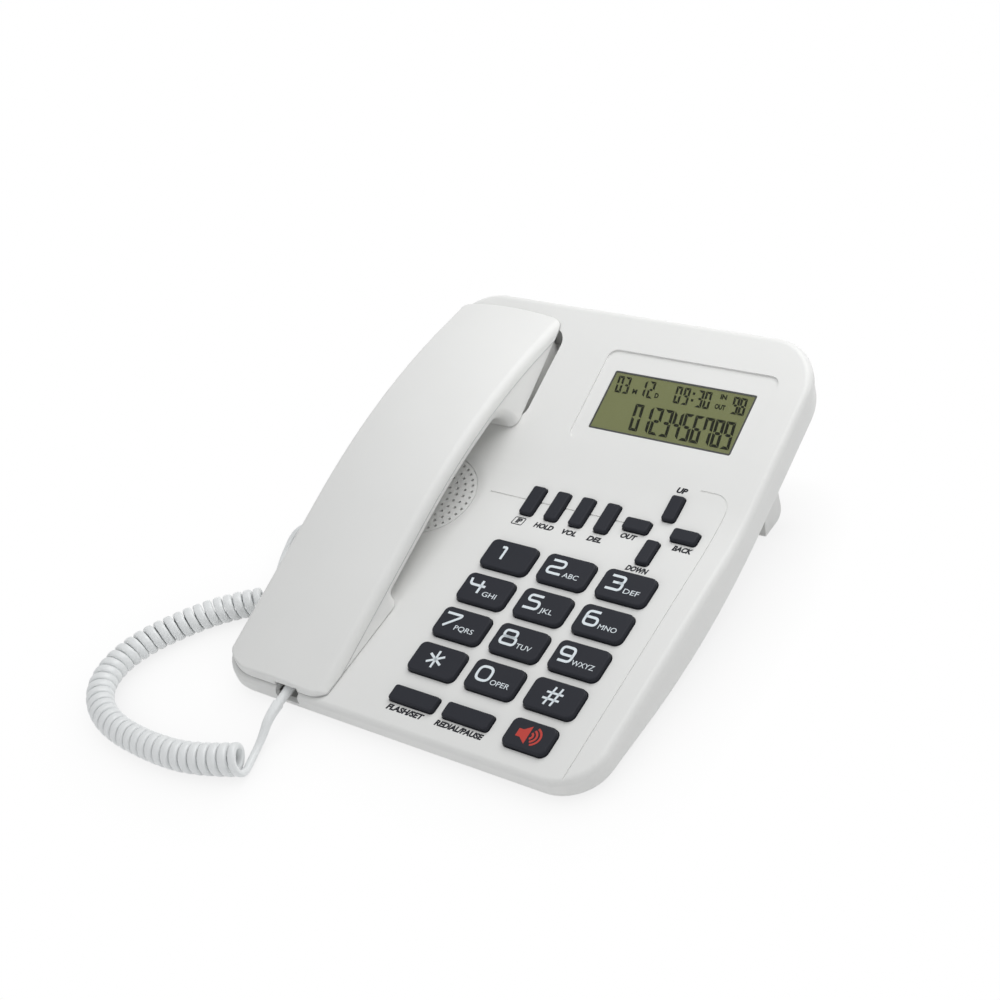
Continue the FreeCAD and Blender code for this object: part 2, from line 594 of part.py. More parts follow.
# Modular sockets and what goes through the walls
half_plug = "(plug_width / 2 + plug_gap)"
HOLLOW = "(plug_height + 2 * plug_gap)"
JACK_WIDE = "2 * (%s + jack_wall)" % half_plug
JACK_HIGH = HOLLOW + " + 2 * jack_wall"
JACK_LONG = "plug_length + jack_wall"
jack_side = "base_jack_row - %s" % half_plug
block_spot = ("-(%s) + shell_wall + fit_gap" % HALF_WIDTH,
              jack_side + " - jack_wall", "base_jack_floor - jack_wall")
base_block = box("base_jack_block", block_spot, (JACK_LONG, JACK_WIDE, JACK_HIGH))
base_hollow = box("base_jack_hollow", ("-(%s) - 2" % HALF_WIDTH, jack_side, "base_jack_floor"),
                  ("plug_length + shell_wall + 2 + fit_gap", "2 * " + half_plug, HOLLOW))
node("base_handset_jack", join("Cut", "base_jack", base_block, base_hollow))

line_left = "line_jack_column - line_width / 2"
line_low = "-(line_top + line_height + 2 * line_wall)"
line_block = box("line_jack_block", (line_left + " - line_wall",
                                     *on_slope(ON_DISPLAY, "line_end - line_depth - line_wall", line_low)),
                 ("line_width + 2 * line_wall", "line_depth + line_wall", "line_height + 2 * line_wall"),
                 "display_tilt")
line_spot = on_slope(ON_DISPLAY, "line_end - line_depth", line_low + " + line_wall")
line_hollow = box("line_jack_hollow", (line_left, *line_spot),
                  ("line_width", "line_depth + 30", "line_height"), "display_tilt")
node("line_jack", join("Cut", "line_socket", line_block, line_hollow))

# Slot in the front rim for the handset's plug and boot
slot_left = "handset_jack_column - slot_width / 2"
slot = box("rim_slot", (slot_left, *on_slope(ON_KEYPAD, "-130", "-slot_depth")),
           ("slot_width", "50", "slot_depth + 5"), "keypad_tilt")

# Screws, bosses, feet
bosses, bores, sinks, screws = [], [], [], []
boss_floor = over_underside("boss_floor", "shell_wall + fit_gap")
SINK = "head_radius + screw_gap"
HEAD_LOW = "shell_wall / 2 - head_thick"
for sign in ("", "-"):
    across = sign + "screw_column"
    spot = (across, "screw_front")
    stem = rod("boss_front", (*spot, "0"), "boss_radius", panel_height("screw_front") + " - panel_wall / 2")
    bosses.append(join("Common", "boss_front_cut", stem, boss_floor))
    bores.append(rod("bore_front", (*spot, "-2"), "screw_radius", "screw_length + 4"))
    sinks.append(rod("sink_front", (*spot, "-2"), SINK, "2 + foot_lift + shell_wall / 2"))
    shank = rod("shank_front", (*spot, "foot_lift + screw_seat"), "screw_radius", "screw_length")
    head = rod("head_front", (*spot, "foot_lift + " + HEAD_LOW), "head_radius", "head_thick")
    screws.append(fuse_all("screw_front_solid", [shank, head]))
    deep = (across, *on_floor("screw_rear", "-3"))
    boss_spot = (across, *on_floor("screw_rear", FLOOR))
    bosses.append(tilted_rod("boss_rear", boss_spot, "boss_radius", "boss_height", "display_tilt"))
    bores.append(tilted_rod("bore_rear", deep, "screw_radius", "screw_length + 5", "display_tilt"))
    sinks.append(tilted_rod("sink_rear", deep, SINK, "3 + shell_wall / 2", "display_tilt"))
    shank = tilted_rod("shank_rear", (across, *on_floor("screw_rear", "screw_seat")),
                       "screw_radius", "screw_length", "display_tilt")
    head = tilted_rod("head_rear", (across, *on_floor("screw_rear", HEAD_LOW)),
                      "head_radius", "head_thick", "display_tilt")
    screws.append(fuse_all("screw_rear_solid", [shank, head]))
node("base_screws", together("screws", screws))
feet = [rod("foot", (sign + "foot_column", "foot_row", "0"), "foot_radius", "foot_lift")
        for sign in ("", "-")]
node("rubber_feet", together("feet", feet))

# Rear stand on two pins
HINGE_HEIGHT = "(%s - hinge_drop)" % under_height("hinge_row")
leg_corners = [("stand_front", "pad_thick"), ("stand_rear", "pad_thick"),
               ("hinge_row + eye_radius", HINGE_HEIGHT), ("hinge_row - eye_radius", HINGE_HEIGHT)]
leg = side_block("stand_leg", leg_corners, "stand_width", [("stand_rear", "pad_thick", "heel_round")])
across_x = FreeCAD.Rotation(Vector(0, 1, 0), 90)
eye = rod("stand_eye", ("-stand_width / 2", "hinge_row", HINGE_HEIGHT), "eye_radius", "stand_width", across_x)
stand = fuse_all("stand_solid", [leg, eye])
inner = box("stand_inner", ("-(stand_width / 2 - stand_wall)", "0", "pad_thick + stand_plate"),
            ("stand_width - 2 * stand_wall", "hinge_row + 30", "60"))
stand = join("Cut", "stand_frame", stand, inner)
shade_corners = [("stand_front", "pad_thick"), ("stand_front + stand_plate", "pad_thick"),
                 ("hinge_row - eye_radius + stand_plate", HINGE_HEIGHT + " - eye_radius"),
                 ("hinge_row - eye_radius", HINGE_HEIGHT + " - eye_radius")]
shade = side_block("stand_web", shade_corners, "stand_width - stand_wall")
stand = fuse_all("stand_whole", [stand, shade])
axle = ("-stand_width", "hinge_row", HINGE_HEIGHT)
pin_hole = rod("stand_bore", axle, "pin_radius + pin_gap", "2 * stand_width", across_x)
node("rear_stand", join("Cut", "stand", stand, pin_hole))
pads = [box("stand_pad", (middle + " - pad_width / 2", "stand_front + 1", "0"),
            ("pad_width", "pad_length", "pad_thick"))
        for middle in ("-(stand_width / 2 - pad_width)", "stand_width / 2 - pad_width")]
node("stand_pads", together("stand_feet", pads))
lugs, pins = [], []
LUG_OUT = "(stand_width / 2 - stand_wall - lug_gap)"
for low in ("-" + LUG_OUT, LUG_OUT + " - lug_thick"):
    block = box("lug_block", (low, "hinge_row - lug_radius", HINGE_HEIGHT),
                ("lug_thick", "2 * lug_radius", "30"))
    nose = rod("lug_nose", (low, "hinge_row", HINGE_HEIGHT), "lug_radius", "lug_thick", across_x)
    lug = fuse_all("lug_solid", [block, nose])
    lugs.append(join("Common", "lug", lug, under_panel("lug_top", "rear_wall - shell_wall / 2")))
PIN_LENGTH = "stand_width / 2 - %s + lug_thick" % LUG_OUT
for low in ("-(stand_width / 2)", LUG_OUT + " - lug_thick"):
    pins.append(rod("stand_pin", (low, "hinge_row", HINGE_HEIGHT), "pin_radius", PIN_LENGTH, across_x))
node("stand_pins", together("pins", pins))
lug_bore = rod("lug_bore", axle, "pin_radius", "2 * stand_width", across_x)

# Grooves: a line through the upper keys and the rounded border of the keypad field
def band(name, left, right, front, rear, corner):
    """Thin upright ring of a groove's width about an outline."""
    rings = []
    for side, grow in (("outer", "groove_width / 2"), ("inner", "-groove_width / 2")):
        edges = ["%s - (%s)" % (left, grow), "%s + (%s)" % (right, grow),
                 "%s - (%s)" % (front, grow), "%s + (%s)" % (rear, grow)]
        rings.append(plan_block(name + "_" + side, *edges, ["%s + (%s)" % (corner, grow)] * 4, "-5", "90"))
    return join("Cut", name, *rings)


field_rear = on_slope(ON_DISPLAY, "field_top", "0")[0]
border = band("field_border", "field_left - field_corner * 3", "field_right", "-base_length", field_rear,
              "field_corner")
border_part = box("border_part", ("field_left", "-base_length", "-5"),
                  ("base_width", "2 * base_length", "100"))
border = join("Common", "border_line", border, border_part)
line_place = curved_spot("groove_row", "0")[0]
key_line = box("key_line", ("groove_left", line_place + " - groove_width / 2", "-5"),
               ("groove_right - groove_left", "groove_width", "100"))
groove_floor = under_panel("groove_floor", "groove_depth")
grooves = join("Cut", "grooves", together("groove_lines", [border, key_line]), groove_floor)

# Finished shells of the base
top_shell = fuse_all("top_with_tubs", [top_shell] + tubs + posts + bosses)
cutters = together("top_cutters", holes)
top_shell = join("Cut", "top_keyed", top_shell, cutters)
panel_tools = [opening, bezel, dish, seat, throat, hook_hole, slot, line_hollow, grooves]
for index, tool in enumerate(panel_tools + wells):
    top_shell = join("Cut", "top_cut_%d" % index, top_shell, tool)
top_shell = join("Cut", "top_bored", top_shell, together("top_bores", bores))
node("base_top_shell", top_shell)
bottom_shell = fuse_all("bottom_with_lugs", [bottom_shell] + lugs)
for index, tool in enumerate([lug_bore, base_hollow, line_hollow]):
    bottom_shell = join("Cut", "bottom_cut_%d" % index, bottom_shell, tool)
bottom_shell = join("Cut", "bottom_bored", bottom_shell, together("bottom_bores", bores + sinks))
node("base_bottom_shell", bottom_shell)

# Handset: a bar swept along the line of its back, trimmed to its plan and to the panel it rests over
TAIL = "10"
spine = doc.addObject("Sketcher::SketchObject", "handset_spine")
spine.Placement = FreeCAD.Placement(Vector(0, 0, 0), FreeCAD.Rotation(Vector(1, 1, 1), 120))
bind(spine, "Placement.Base.x", "handset_middle")
START = ("handset_front - " + TAIL, "back_front - %s * tan(handset_slope * 1deg)" % TAIL)
END = ("handset_rear + " + TAIL, "back_top")
slope = math.radians(num("handset_slope"))
reach = num("back_radius") * math.tan(slope / 2)
knee = num("handset_front") + (num("back_top") - num("back_front")) / math.tan(slope)
first = Vector(num(START[0]), num(START[1]), 0)
last = Vector(num(END[0]), num(END[1]), 0)
bend_in = Vector(knee - reach * math.cos(slope), num("back_top") - reach * math.sin(slope), 0)
bend_out = Vector(knee + reach, num("back_top"), 0)
hub = Vector(bend_out.x, bend_out.y - num("back_radius"), 0)
spine.addGeometry(Part.LineSegment(first, bend_in))
spine.addGeometry(Part.LineSegment(bend_out, last))
circle = Part.Circle(hub, Vector(0, 0, 1), num("back_radius"))
spine.addGeometry(Part.ArcOfCircle(circle, math.pi / 2, math.pi / 2 + slope))
spine.addConstraint(Sketcher.Constraint("Tangent", 0, 2, 2, 2))
spine.addConstraint(Sketcher.Constraint("Tangent", 1, 1, 2, 1))
spine.addConstraint(Sketcher.Constraint("Horizontal", 1))
fix_point(spine, 0, 1, *START)
fix_point(spine, 1, 2, *END)
index = spine.addConstraint(Sketcher.Constraint("Radius", 2, num("back_radius")))
spine.setExpression("Constraints[%d]" % index, ex("back_radius"))
index = spine.addConstraint(Sketcher.Constraint("Angle", 0, slope))
spine.setExpression("Constraints[%d]" % index, ex("handset_slope * 1deg"))
doc.recompute()


def swept(name, corners, crown=False):
    """Cross section, from the line of the back downward, swept along the whole handset."""
    sketch = doc.addObject("Sketcher::SketchObject", name + "_section")
    sketch.Placement = FreeCAD.Placement(Vector(0, 0, 0), FreeCAD.Rotation(Vector(1, 0, 0), 90))
    bind(sketch, "Placement.Rotation.Angle", "90 + handset_slope")
    for axis, text in zip("xyz", ("handset_middle",) + START):
        bind(sketch, "Placement.Base." + axis, text)
    if crown:
        arch(sketch, corners)
    else:
        polygon(sketch, corners)
    item = doc.addObject("Part::Sweep", name)
    item.Sections = [sketch]
    item.Spine = (spine, ["Edge1", "Edge2", "Edge3"])
    item.Solid = True
    doc.recompute()
    return item


def arch(sketch, corners):
    """Three straight sides under an arched top; the corners run from the top left round to the top right."""
    spots = [Vector(num(across), num(along), 0) for across, along in corners]
    for index in range(3):
        sketch.addGeometry(Part.LineSegment(spots[index], spots[index + 1]))
    sketch.addGeometry(Part.Arc(spots[0], Vector(0, 0, 0), spots[3]))
    for index in range(2):
        sketch.addConstraint(Sketcher.Constraint("Coincident", index, 2, index + 1, 1))
    sketch.addConstraint(Sketcher.Constraint("Coincident", 3, 2, 0, 1))
    sketch.addConstraint(Sketcher.Constraint("Coincident", 3, 1, 2, 2))
    for index in range(3):
        fix_point(sketch, index, 1, *corners[index])
    fix_point(sketch, 2, 2, *corners[3])
    radius = "((ridge_width / 2) ^ 2 + back_crown ^ 2) / (2 * back_crown)"
    number = sketch.addConstraint(Sketcher.Constraint("Radius", 3, num(radius)))
    sketch.setExpression("Constraints[%d]" % number, ex(radius))


def slab(name, depth):
    """Everything deeper than a depth under the line of the back."""
    return swept(name, [("-45", "-(%s)" % depth), ("-45", "-70"), ("45", "-70"), ("45", "-(%s)" % depth)])


bar_corners = [("-ridge_width / 2", "-back_crown"), ("-handset_width / 2", "-side_depth"),
               ("handset_width / 2", "-side_depth"), ("ridge_width / 2", "-back_crown")]
bar = swept("handset_bar", bar_corners, crown=True)
RIDGES = (num("handset_middle - ridge_width / 2"), num("handset_middle + ridge_width / 2"))
bar = round_edges("bar_round", bar, "ridge_round",
                  lambda edge: min(abs(edge.CenterOfMass.x - place) for place in RIDGES) < 0.01)
plan = plan_block("handset_plan", "handset_middle - handset_width / 2", "handset_middle + handset_width / 2",
                  "handset_front", "handset_rear",
                  ["nose_corner", "nose_corner_inner", "tail_corner", "tail_corner"], "-5", "90")
form = join("Common", "handset_form", bar, plan)
rest = under_panel("handset_rest", "-rest_gap")
form = join("Cut", "handset_trim", form, rest)

# Space for the fingers under the grip, its ends curved down into the two caps
reach_box = box("grip_reach", ("handset_middle - 45", "grip_front", "-10"),
                ("90", "grip_rear - grip_front", "100"))
gap = join("Common", "grip_gap", slab("grip_under", "grip_depth"), reach_box)


def level_edge(edge, place):
    """True for the upper edge across the gap at a place along Y."""
    spot = edge.CenterOfMass
    return edge.Length > num("handset_width") and abs(spot.y - num(place)) < 0.01 and spot.z > 0


gap = round_edges("gap_rear", gap, "ear_bend", lambda edge: level_edge(edge, "grip_rear"))
gap = round_edges("gap_front", gap, "mouth_bend", lambda edge: level_edge(edge, "grip_front"))
form = join("Cut", "handset_grip", form, gap)


def distance(item, spot):
    """How far a point lies from a solid."""
    return item.Shape.distToShape(Part.Vertex(spot))[0]


def middle_of(edge):
    """Point half way along an edge."""
    return edge.valueAt((edge.FirstParameter + edge.LastParameter) / 2)


def grip_edge(edge):
    """True for an edge between the gap and the handset's sides."""
    spot = middle_of(edge)
    aside = abs(spot.x - num("handset_middle")) > num("ridge_width / 2") + 1
    within = num("grip_front") - 0.01 < spot.y < num("grip_rear") + 0.01
    return aside and within and distance(gap, spot) < 0.01 and distance(rest, spot) > 0.05


form = round_edges("grip_soft", form, "grip_round", grip_edge)
end_walls = doc.addObject("Part::Feature", "end_walls")
end_walls.Shape = Part.makeCompound([face for face in plan.Shape.Faces if abs(face.normalAt(0, 0).z) < 0.1])


def end_edge(edge):
    """True for an edge round the top of the nose or of the tail."""
    spot = middle_of(edge)
    first, last = edge.valueAt(edge.FirstParameter), edge.valueAt(edge.LastParameter)
    near = spot.y < num("handset_front + nose_corner") or spot.y > num("handset_rear - tail_corner")
    level = math.hypot(first.x - last.x, first.y - last.y) > 0.1
    return near and level and distance(end_walls, spot) < 0.005 and distance(rest, spot) > 0.15


form = round_edges("handset_ends", form, "end_round", end_edge)


def cap(name):
    """Part of the handset that dips into a well."""
    sides = [name + "_left + well_gap", name + "_cap_right",
             name + "_front + well_gap", name + "_rear - well_gap"]
    block = plan_block(name + "_cap_plan", *sides, ["well_corner - well_gap"] * 4, "-5", "90")
    floor = under_panel(name + "_cap_floor", name + "_depth - rest_gap")
    block = join("Cut", name + "_cap_low", block, floor)
    return join("Common", name + "_cap", block, under_panel(name + "_cap_top", "-rest_gap - 1"))


form = fuse_all("handset_capped", [form, cap("ear"), cap("mouth")])
parting = slab("handset_parting", "back_depth")
back = join("Cut", "handset_back", form, parting)
front = join("Common", "handset_front_half", form, parting)

# Parts inside the handset and the pockets they sit in
ear_middle = "(ear_left + ear_right) / 2"
ear_along = "((ear_front + ear_rear) / 2 - bend_place) / cos(display_tilt * 1deg)"
EAR_FACE = "-(ear_depth - rest_gap) * cos(display_tilt * 1deg)"
EAR_FLOOR = EAR_FACE + " + ear_skin"
receiver_spot = (ear_middle, *on_slope(ON_DISPLAY, ear_along, EAR_FLOOR))
receiver = tilted_rod("receiver_unit", receiver_spot, "receiver_radius", "receiver_depth", "display_tilt")
node("receiver", receiver)
receiver_pocket = tilted_rod("receiver_pocket", receiver_spot,
                             "receiver_radius + seat_gap", "30", "display_tilt")
ear_holes = []
for step in range(7):
    turn = "%d * 60deg" % step
    out = "ear_hole_ring" if step < 6 else "0"
    across = ear_middle + " + %s * cos(%s)" % (out, turn)
    along = ear_along + " + %s * sin(%s)" % (out, turn)
    spot = (across, *on_slope(ON_DISPLAY, along, EAR_FLOOR + " - 5"))
    ear_holes.append(tilted_rod("ear_hole", spot, "ear_hole_radius", "6", "display_tilt"))
mouth_middle = "mouth_left + 14"
mouth_along = "((mouth_front + mouth_rear) / 2 - bend_place) / cos(keypad_tilt * 1deg)"
MOUTH_FACE = "-(mouth_depth - rest_gap) * cos(keypad_tilt * 1deg)"
MOUTH_FLOOR = MOUTH_FACE + " + mouth_skin"
capsule_spot = (mouth_middle, *on_slope(ON_KEYPAD, mouth_along, MOUTH_FLOOR))
capsule = tilted_rod("mouth_capsule", capsule_spot, "capsule_radius", "capsule_depth", "keypad_tilt")
node("microphone", capsule)
capsule_pocket = tilted_rod("capsule_pocket", capsule_spot, "capsule_radius + seat_gap", "30", "keypad_tilt")
mouth_hole_spot = (mouth_middle, *on_slope(ON_KEYPAD, mouth_along, MOUTH_FLOOR + " - 5"))
mouth_hole = tilted_rod("mouth_hole", mouth_hole_spot, "mouth_hole_radius", "6", "keypad_tilt")
weight_middle = "(grip_front + grip_rear) / 2"
weight_lean = "asin((handset_rear - 15 - (%s)) / back_radius)" % weight_middle
weight_depth = "(back_depth + weight_drop) / cos(%s)" % weight_lean
weight_top = "back_top - (1 - cos(%s)) * back_radius - %s" % (weight_lean, weight_depth)


def weight_block(name, grow, rise):
    """Bar of the counterweight about its middle, or the pocket for it."""
    half = "(weight_length / 2 + %s)" % grow
    low = "(weight_thick + %s)" % grow
    place = "%s - %s * cos(%s) + %s * sin(%s)" % (weight_middle, half, weight_lean, low, weight_lean)
    height = "%s - %s * sin(%s) - %s * cos(%s)" % (weight_top, half, weight_lean, low, weight_lean)
    return box(name, ("handset_middle - weight_width / 2 - %s" % grow, place, height),
               ("weight_width + 2 * %s" % grow, "2 * " + half, low + " + " + rise), weight_lean)


node("handset_weight", weight_block("weight_bar", "0", "0"))
weight_pocket = weight_block("weight_pocket", "pocket_gap", "12")

# Handset socket and its slot through the nose
jack_along = "(handset_jack_front - bend_place) / cos(keypad_tilt * 1deg)"
jack_low = "handset_jack_floor - jack_wall"
jack_left = "handset_jack_column - %s" % half_plug
jack_spot = on_slope(ON_KEYPAD, jack_along, jack_low)
jack_block = box("handset_jack_block", (jack_left + " - jack_wall", *jack_spot),
                 (JACK_WIDE, JACK_LONG, JACK_HIGH), "keypad_tilt")
hollow_spot = on_slope(ON_KEYPAD, jack_along + " - 5", "handset_jack_floor")
jack_hollow = box("handset_jack_hollow", (jack_left, *hollow_spot),
                  ("2 * " + half_plug, "plug_length + 5", HOLLOW), "keypad_tilt")
node("handset_jack", join("Cut", "handset_socket", jack_block, jack_hollow))
pocket_spot = on_slope(ON_KEYPAD, jack_along + " - pocket_gap", jack_low + " - pocket_gap")
pocket_size = [size + " + 2 * pocket_gap" for size in (JACK_WIDE, JACK_LONG, JACK_HIGH)]
jack_pocket = box("handset_jack_pocket", (jack_left + " - jack_wall - pocket_gap", *pocket_spot), pocket_size,
                  "keypad_tilt")
nose_slot = box("nose_slot", (slot_left, *on_slope(ON_KEYPAD, "-130", "-10")),
                ("slot_width", jack_along + " + 130", "10 + slot_rise"), "keypad_tilt")

# Two screws from the caps into the back shell
handset_screws, screw_bores, screw_sinks = [], [], []
ear_screw_along = "(ear_front - bend_place + 6) / cos(display_tilt * 1deg)"
mouth_screw_along = "(mouth_rear - bend_place - 7) / cos(keypad_tilt * 1deg)"
SCREWS = ((ON_DISPLAY, "ear_left + 6", ear_screw_along, EAR_FACE, "ear_screw"),
          (ON_KEYPAD, "mouth_right - 7", mouth_screw_along, MOUTH_FACE, "mouth_screw"))
for tilt, across, along, face, length in SCREWS:
    seat_spot = (across, *on_slope(tilt, along, face + " + head_sink"))
    open_spot = (across, *on_slope(tilt, along, face + " - 3"))
    shank = tilted_rod("handset_shank", seat_spot, "screw_radius", length, tilt)
    head = tilted_rod("handset_head", seat_spot, "head_radius", "head_thick", tilt)
    handset_screws.append(fuse_all("handset_screw", [shank, head]))
    screw_bores.append(tilted_rod("handset_bore", open_spot, "screw_radius", length + " + 3.5", tilt))
    screw_sinks.append(tilted_rod("handset_sink", open_spot, SINK, "3 + head_sink + head_thick", tilt))
node("handset_screws", together("handset_screw_set", handset_screws))
front_tools = [receiver_pocket, capsule_pocket, mouth_hole, weight_pocket, jack_pocket, nose_slot]
for index, tool in enumerate(front_tools + ear_holes + screw_sinks + screw_bores):
    front = join("Cut", "front_cut_%d" % index, front, tool)
for index, tool in enumerate([jack_pocket, nose_slot] + screw_bores):
    back = join("Cut", "back_cut_%d" % index, back, tool)
node("handset_front_shell", front)
node("handset_back_shell", back)


# Plugs with tapered boots
def cone(name, base, length, turn):
    """Boot that narrows to the lead."""
    item = doc.addObject("Part::Cone", name)
    bind(item, "Radius1", "boot_wide / 2")
    bind(item, "Radius2", "boot_slim / 2")
    bind(item, "Height", length)
    item.Placement = FreeCAD.Placement(Vector(0, 0, 0), turn)
    place_at(item, *base)
    return item


plug_low = "handset_jack_floor + plug_gap"
plug_middle = plug_low + " + plug_height / 2"
plug_body = box("handset_plug_body", (jack_left + " + plug_gap", *on_slope(ON_KEYPAD, jack_along, plug_low)),
                ("plug_width", "plug_length - plug_gap", "plug_height"), "keypad_tilt")
toward_front = FreeCAD.Rotation(Vector(1, 0, 0), 90 + num("keypad_tilt"))
handset_boot = cone("handset_boot", ("handset_jack_column",
                                     *on_slope(ON_KEYPAD, jack_along + " + boot_seat", plug_middle)),
                    "long_boot", toward_front)
node("plug_handset", fuse_all("handset_plug", [plug_body, handset_boot]))
base_plug_out = "-(%s) + base_plug_inset" % HALF_WIDTH
base_plug_middle = "base_jack_floor + plug_gap + plug_height / 2"
base_plug_spot = (base_plug_out, "base_jack_row - plug_width / 2", "base_jack_floor + plug_gap")
base_plug_body = box("base_plug_body", base_plug_spot,
                     ("plug_length + shell_wall - 2 * base_plug_inset", "plug_width", "plug_height"))
toward_left = FreeCAD.Rotation(Vector(0, 1, 0), -90)
base_boot = cone("base_boot", (base_plug_out + " + boot_seat", "base_jack_row", base_plug_middle),
                 "boot_length", toward_left)
node("plug_base", fuse_all("base_plug", [base_plug_body, base_boot]))


# Curly cord: a route of straight runs and tangent arcs, the coil wound about its middle stretch
def rounded_route(points):
    """Runs and arcs through a list of corners: pairs of edge and bend radius."""
    pieces, start = [], points[0]
    for before, corner, after in zip(points, points[1:], points[2:]):
        come, leave = (corner - before), (after - corner)
        shorter = min(come.Length, leave.Length)
        come, leave = come.normalize(), leave.normalize()
        turn = come.getAngle(leave)
        if turn < 0.002:
            continue
        cut = 0.45 * shorter
        radius = cut / math.tan(turn / 2)
        arc_in, arc_out = corner - come * cut, corner + leave * cut
        sag = radius * (1 / math.cos(turn / 2) - 1)
        middle = corner + (leave - come).normalize() * sag
        pieces.append((Part.LineSegment(start, arc_in).toShape(), None))
        pieces.append((Part.Arc(arc_in, middle, arc_out).toShape(), radius))
        start = arc_out
    pieces.append((Part.LineSegment(start, points[-1]).toShape(), None))
    return pieces


class Route:
    """Place and heading at a distance along a list of edges."""

    def __init__(self, pieces):
        self.edges = [edge for edge, radius in pieces]
        self.length = sum(edge.Length for edge in self.edges)

    def at(self, distance):
        """Point and unit heading."""
        distance = min(max(distance, 0), self.length)
        for edge in self.edges:
            if distance <= edge.Length or edge is self.edges[-1]:
                break
            distance -= edge.Length
        value = edge.getParameterByLength(min(distance, edge.Length))
        return edge.valueAt(value), edge.tangentAt(value).normalize()


def section(spot, heading, sides):
    """Ring of a wire square to its heading."""
    radius = num("wire_diameter / 2")
    if sides == 0:
        return Part.Wire(Part.makeCircle(radius, spot, heading))
    level = heading.cross(Vector(0, 0, 1)).normalize()
    rise = level.cross(heading)
    turns = [2 * math.pi * (index + 0.5) / sides for index in range(sides)]
    ring = [spot + level * (radius * math.cos(turn)) + rise * (radius * math.sin(turn)) for turn in turns]
    return Part.makePolygon(ring + ring[:1])


def tube(name, edges, sides):
    """Pipe of the wire's section along joined edges."""
    wire = Part.Wire(edges)
    spot, heading = edges[0].valueAt(edges[0].FirstParameter), edges[0].tangentAt(edges[0].FirstParameter)
    item = doc.addObject("Part::Feature", name)
    item.Shape = wire.makePipeShell([section(spot, heading, sides)], True, False)
    return item


def biarc(start, heading, end, arrival):
    """Two arcs that leave and arrive along given headings."""
    span, both = end - start, heading + arrival
    bend = 2 * (1 - heading.dot(arrival))
    across = span.dot(both)
    reach = (math.sqrt(across ** 2 + bend * span.dot(span)) - across) / bend
    first, second = start + heading * reach, end - arrival * reach
    joint = (first + second) * 0.5
    arcs = []
    for low, corner, high in ((start, first, joint), (joint, second, end)):
        chord = (low + high) * 0.5
        rise = corner - chord
        half = math.atan2(rise.Length, (low - chord).Length)
        radius = (low - chord).Length / math.sin(half)
        arcs.append(Part.Arc(low, chord + rise.normalize() * (radius * (1 - math.cos(half))), high).toShape())
    return arcs


wire_low = num("wire_diameter / 2 + table_gap")
axis_height = num("coil_radius") + wire_low
AXIS = [(-43, -121), (-60, -128), (-84, -129.2), (-107, -126.5), (-122, -118), (-128, -105), (-125.5, -90),
        (-116, -75), (-104, -61.5), (-91.5, -53.5)]
axis = Route(rounded_route([Vector(across, along, axis_height) for across, along in AXIS]))
turns = round(axis.length / num("coil_pitch"))


def coil_spot(angle):
    """Point of the coil's wire at an angle wound from its start."""
    spot, heading = axis.at(axis.length * angle / (2 * math.pi * turns))
    side = Vector(-heading.y, heading.x, 0)
    turn = angle - math.pi / 2
    radius = num("coil_radius")
    return spot + side * (radius * math.cos(turn)) + Vector(0, 0, radius * math.sin(turn))


def coil_heading(angle):
    """Unit heading of the coil's wire."""
    step = 0.001
    full = 2 * math.pi * turns
    return (coil_spot(min(angle + step, full)) - coil_spot(max(angle - step, 0))).normalize()


steps = turns * 4
knots = [(coil_spot(index * math.pi / 2), coil_heading(index * math.pi / 2)) for index in range(steps + 1)]
coil_edges = []
for (start, heading), (end, arrival) in zip(knots, knots[1:]):
    coil_edges += biarc(start, heading, end, arrival)
coil = tube("coil_tube", coil_edges, 6)
node("cord_coil", coil)

boot_end = on_slope(ON_KEYPAD, jack_along + " + boot_seat - long_boot", plug_middle)
boot_spot = Vector(num("handset_jack_column"), *[num(text) for text in boot_end])
lean = math.radians(num("keypad_tilt"))
boot_way = Vector(0, -math.cos(lean), -math.sin(lean))
coil_start, start_way = knots[0]
coil_end, end_way = knots[-1]
upper_lead = rounded_route([boot_spot, boot_spot + boot_way * 6, Vector(-46, -108, 3.2),
                            coil_start - start_way * 6.5, coil_start])
node("cord_lead_handset", tube("upper_lead_tube", [edge for edge, radius in upper_lead], 0))
base_boot_place = num(base_plug_out + " + boot_seat - boot_length")
base_boot_end = Vector(base_boot_place, num("base_jack_row"), num(base_plug_middle))
lower_lead = rounded_route([coil_end, coil_end + end_way * 11.7, Vector(-104, -31, 2.0),
                            Vector(-102.5, num("base_jack_row"), base_boot_end.z), base_boot_end])
node("cord_lead_base", tube("lower_lead_tube", [edge for edge, radius in lower_lead], 0))

# What the cord was measured at
bends = [radius for edge, radius in upper_lead + lower_lead if radius]
print("lead bend radii", [round(radius, 2) for radius in bends])
radii = [edge.Curve.Radius for edge in coil_edges]
print("coil arc radii", round(min(radii), 3), round(max(radii), 3), "turns", turns)
spots = [edge.valueAt(edge.FirstParameter + (edge.LastParameter - edge.FirstParameter) * part / 4)
         for edge in coil_edges for part in range(4)]
window = 20
least = min((spots[first] - spots[second]).Length for first in range(len(spots))
            for second in range(first + window, min(first + 3 * window, len(spots))))
print("least gap of the coil to itself", round(least - num("wire_diameter"), 3))
coil_length = sum(edge.Length for edge in coil_edges)
area = 6 * 0.5 * num("wire_diameter / 2") ** 2 * math.sin(math.pi / 3)
print("coil volume over section times length", round(coil.Shape.Volume / (area * coil_length), 4))
lead_length = sum(edge.Length for edge, radius in upper_lead + lower_lead)
print("cord length", round(coil_length + lead_length, 1))
print("cord length along its axis", round(axis.length + lead_length, 1))

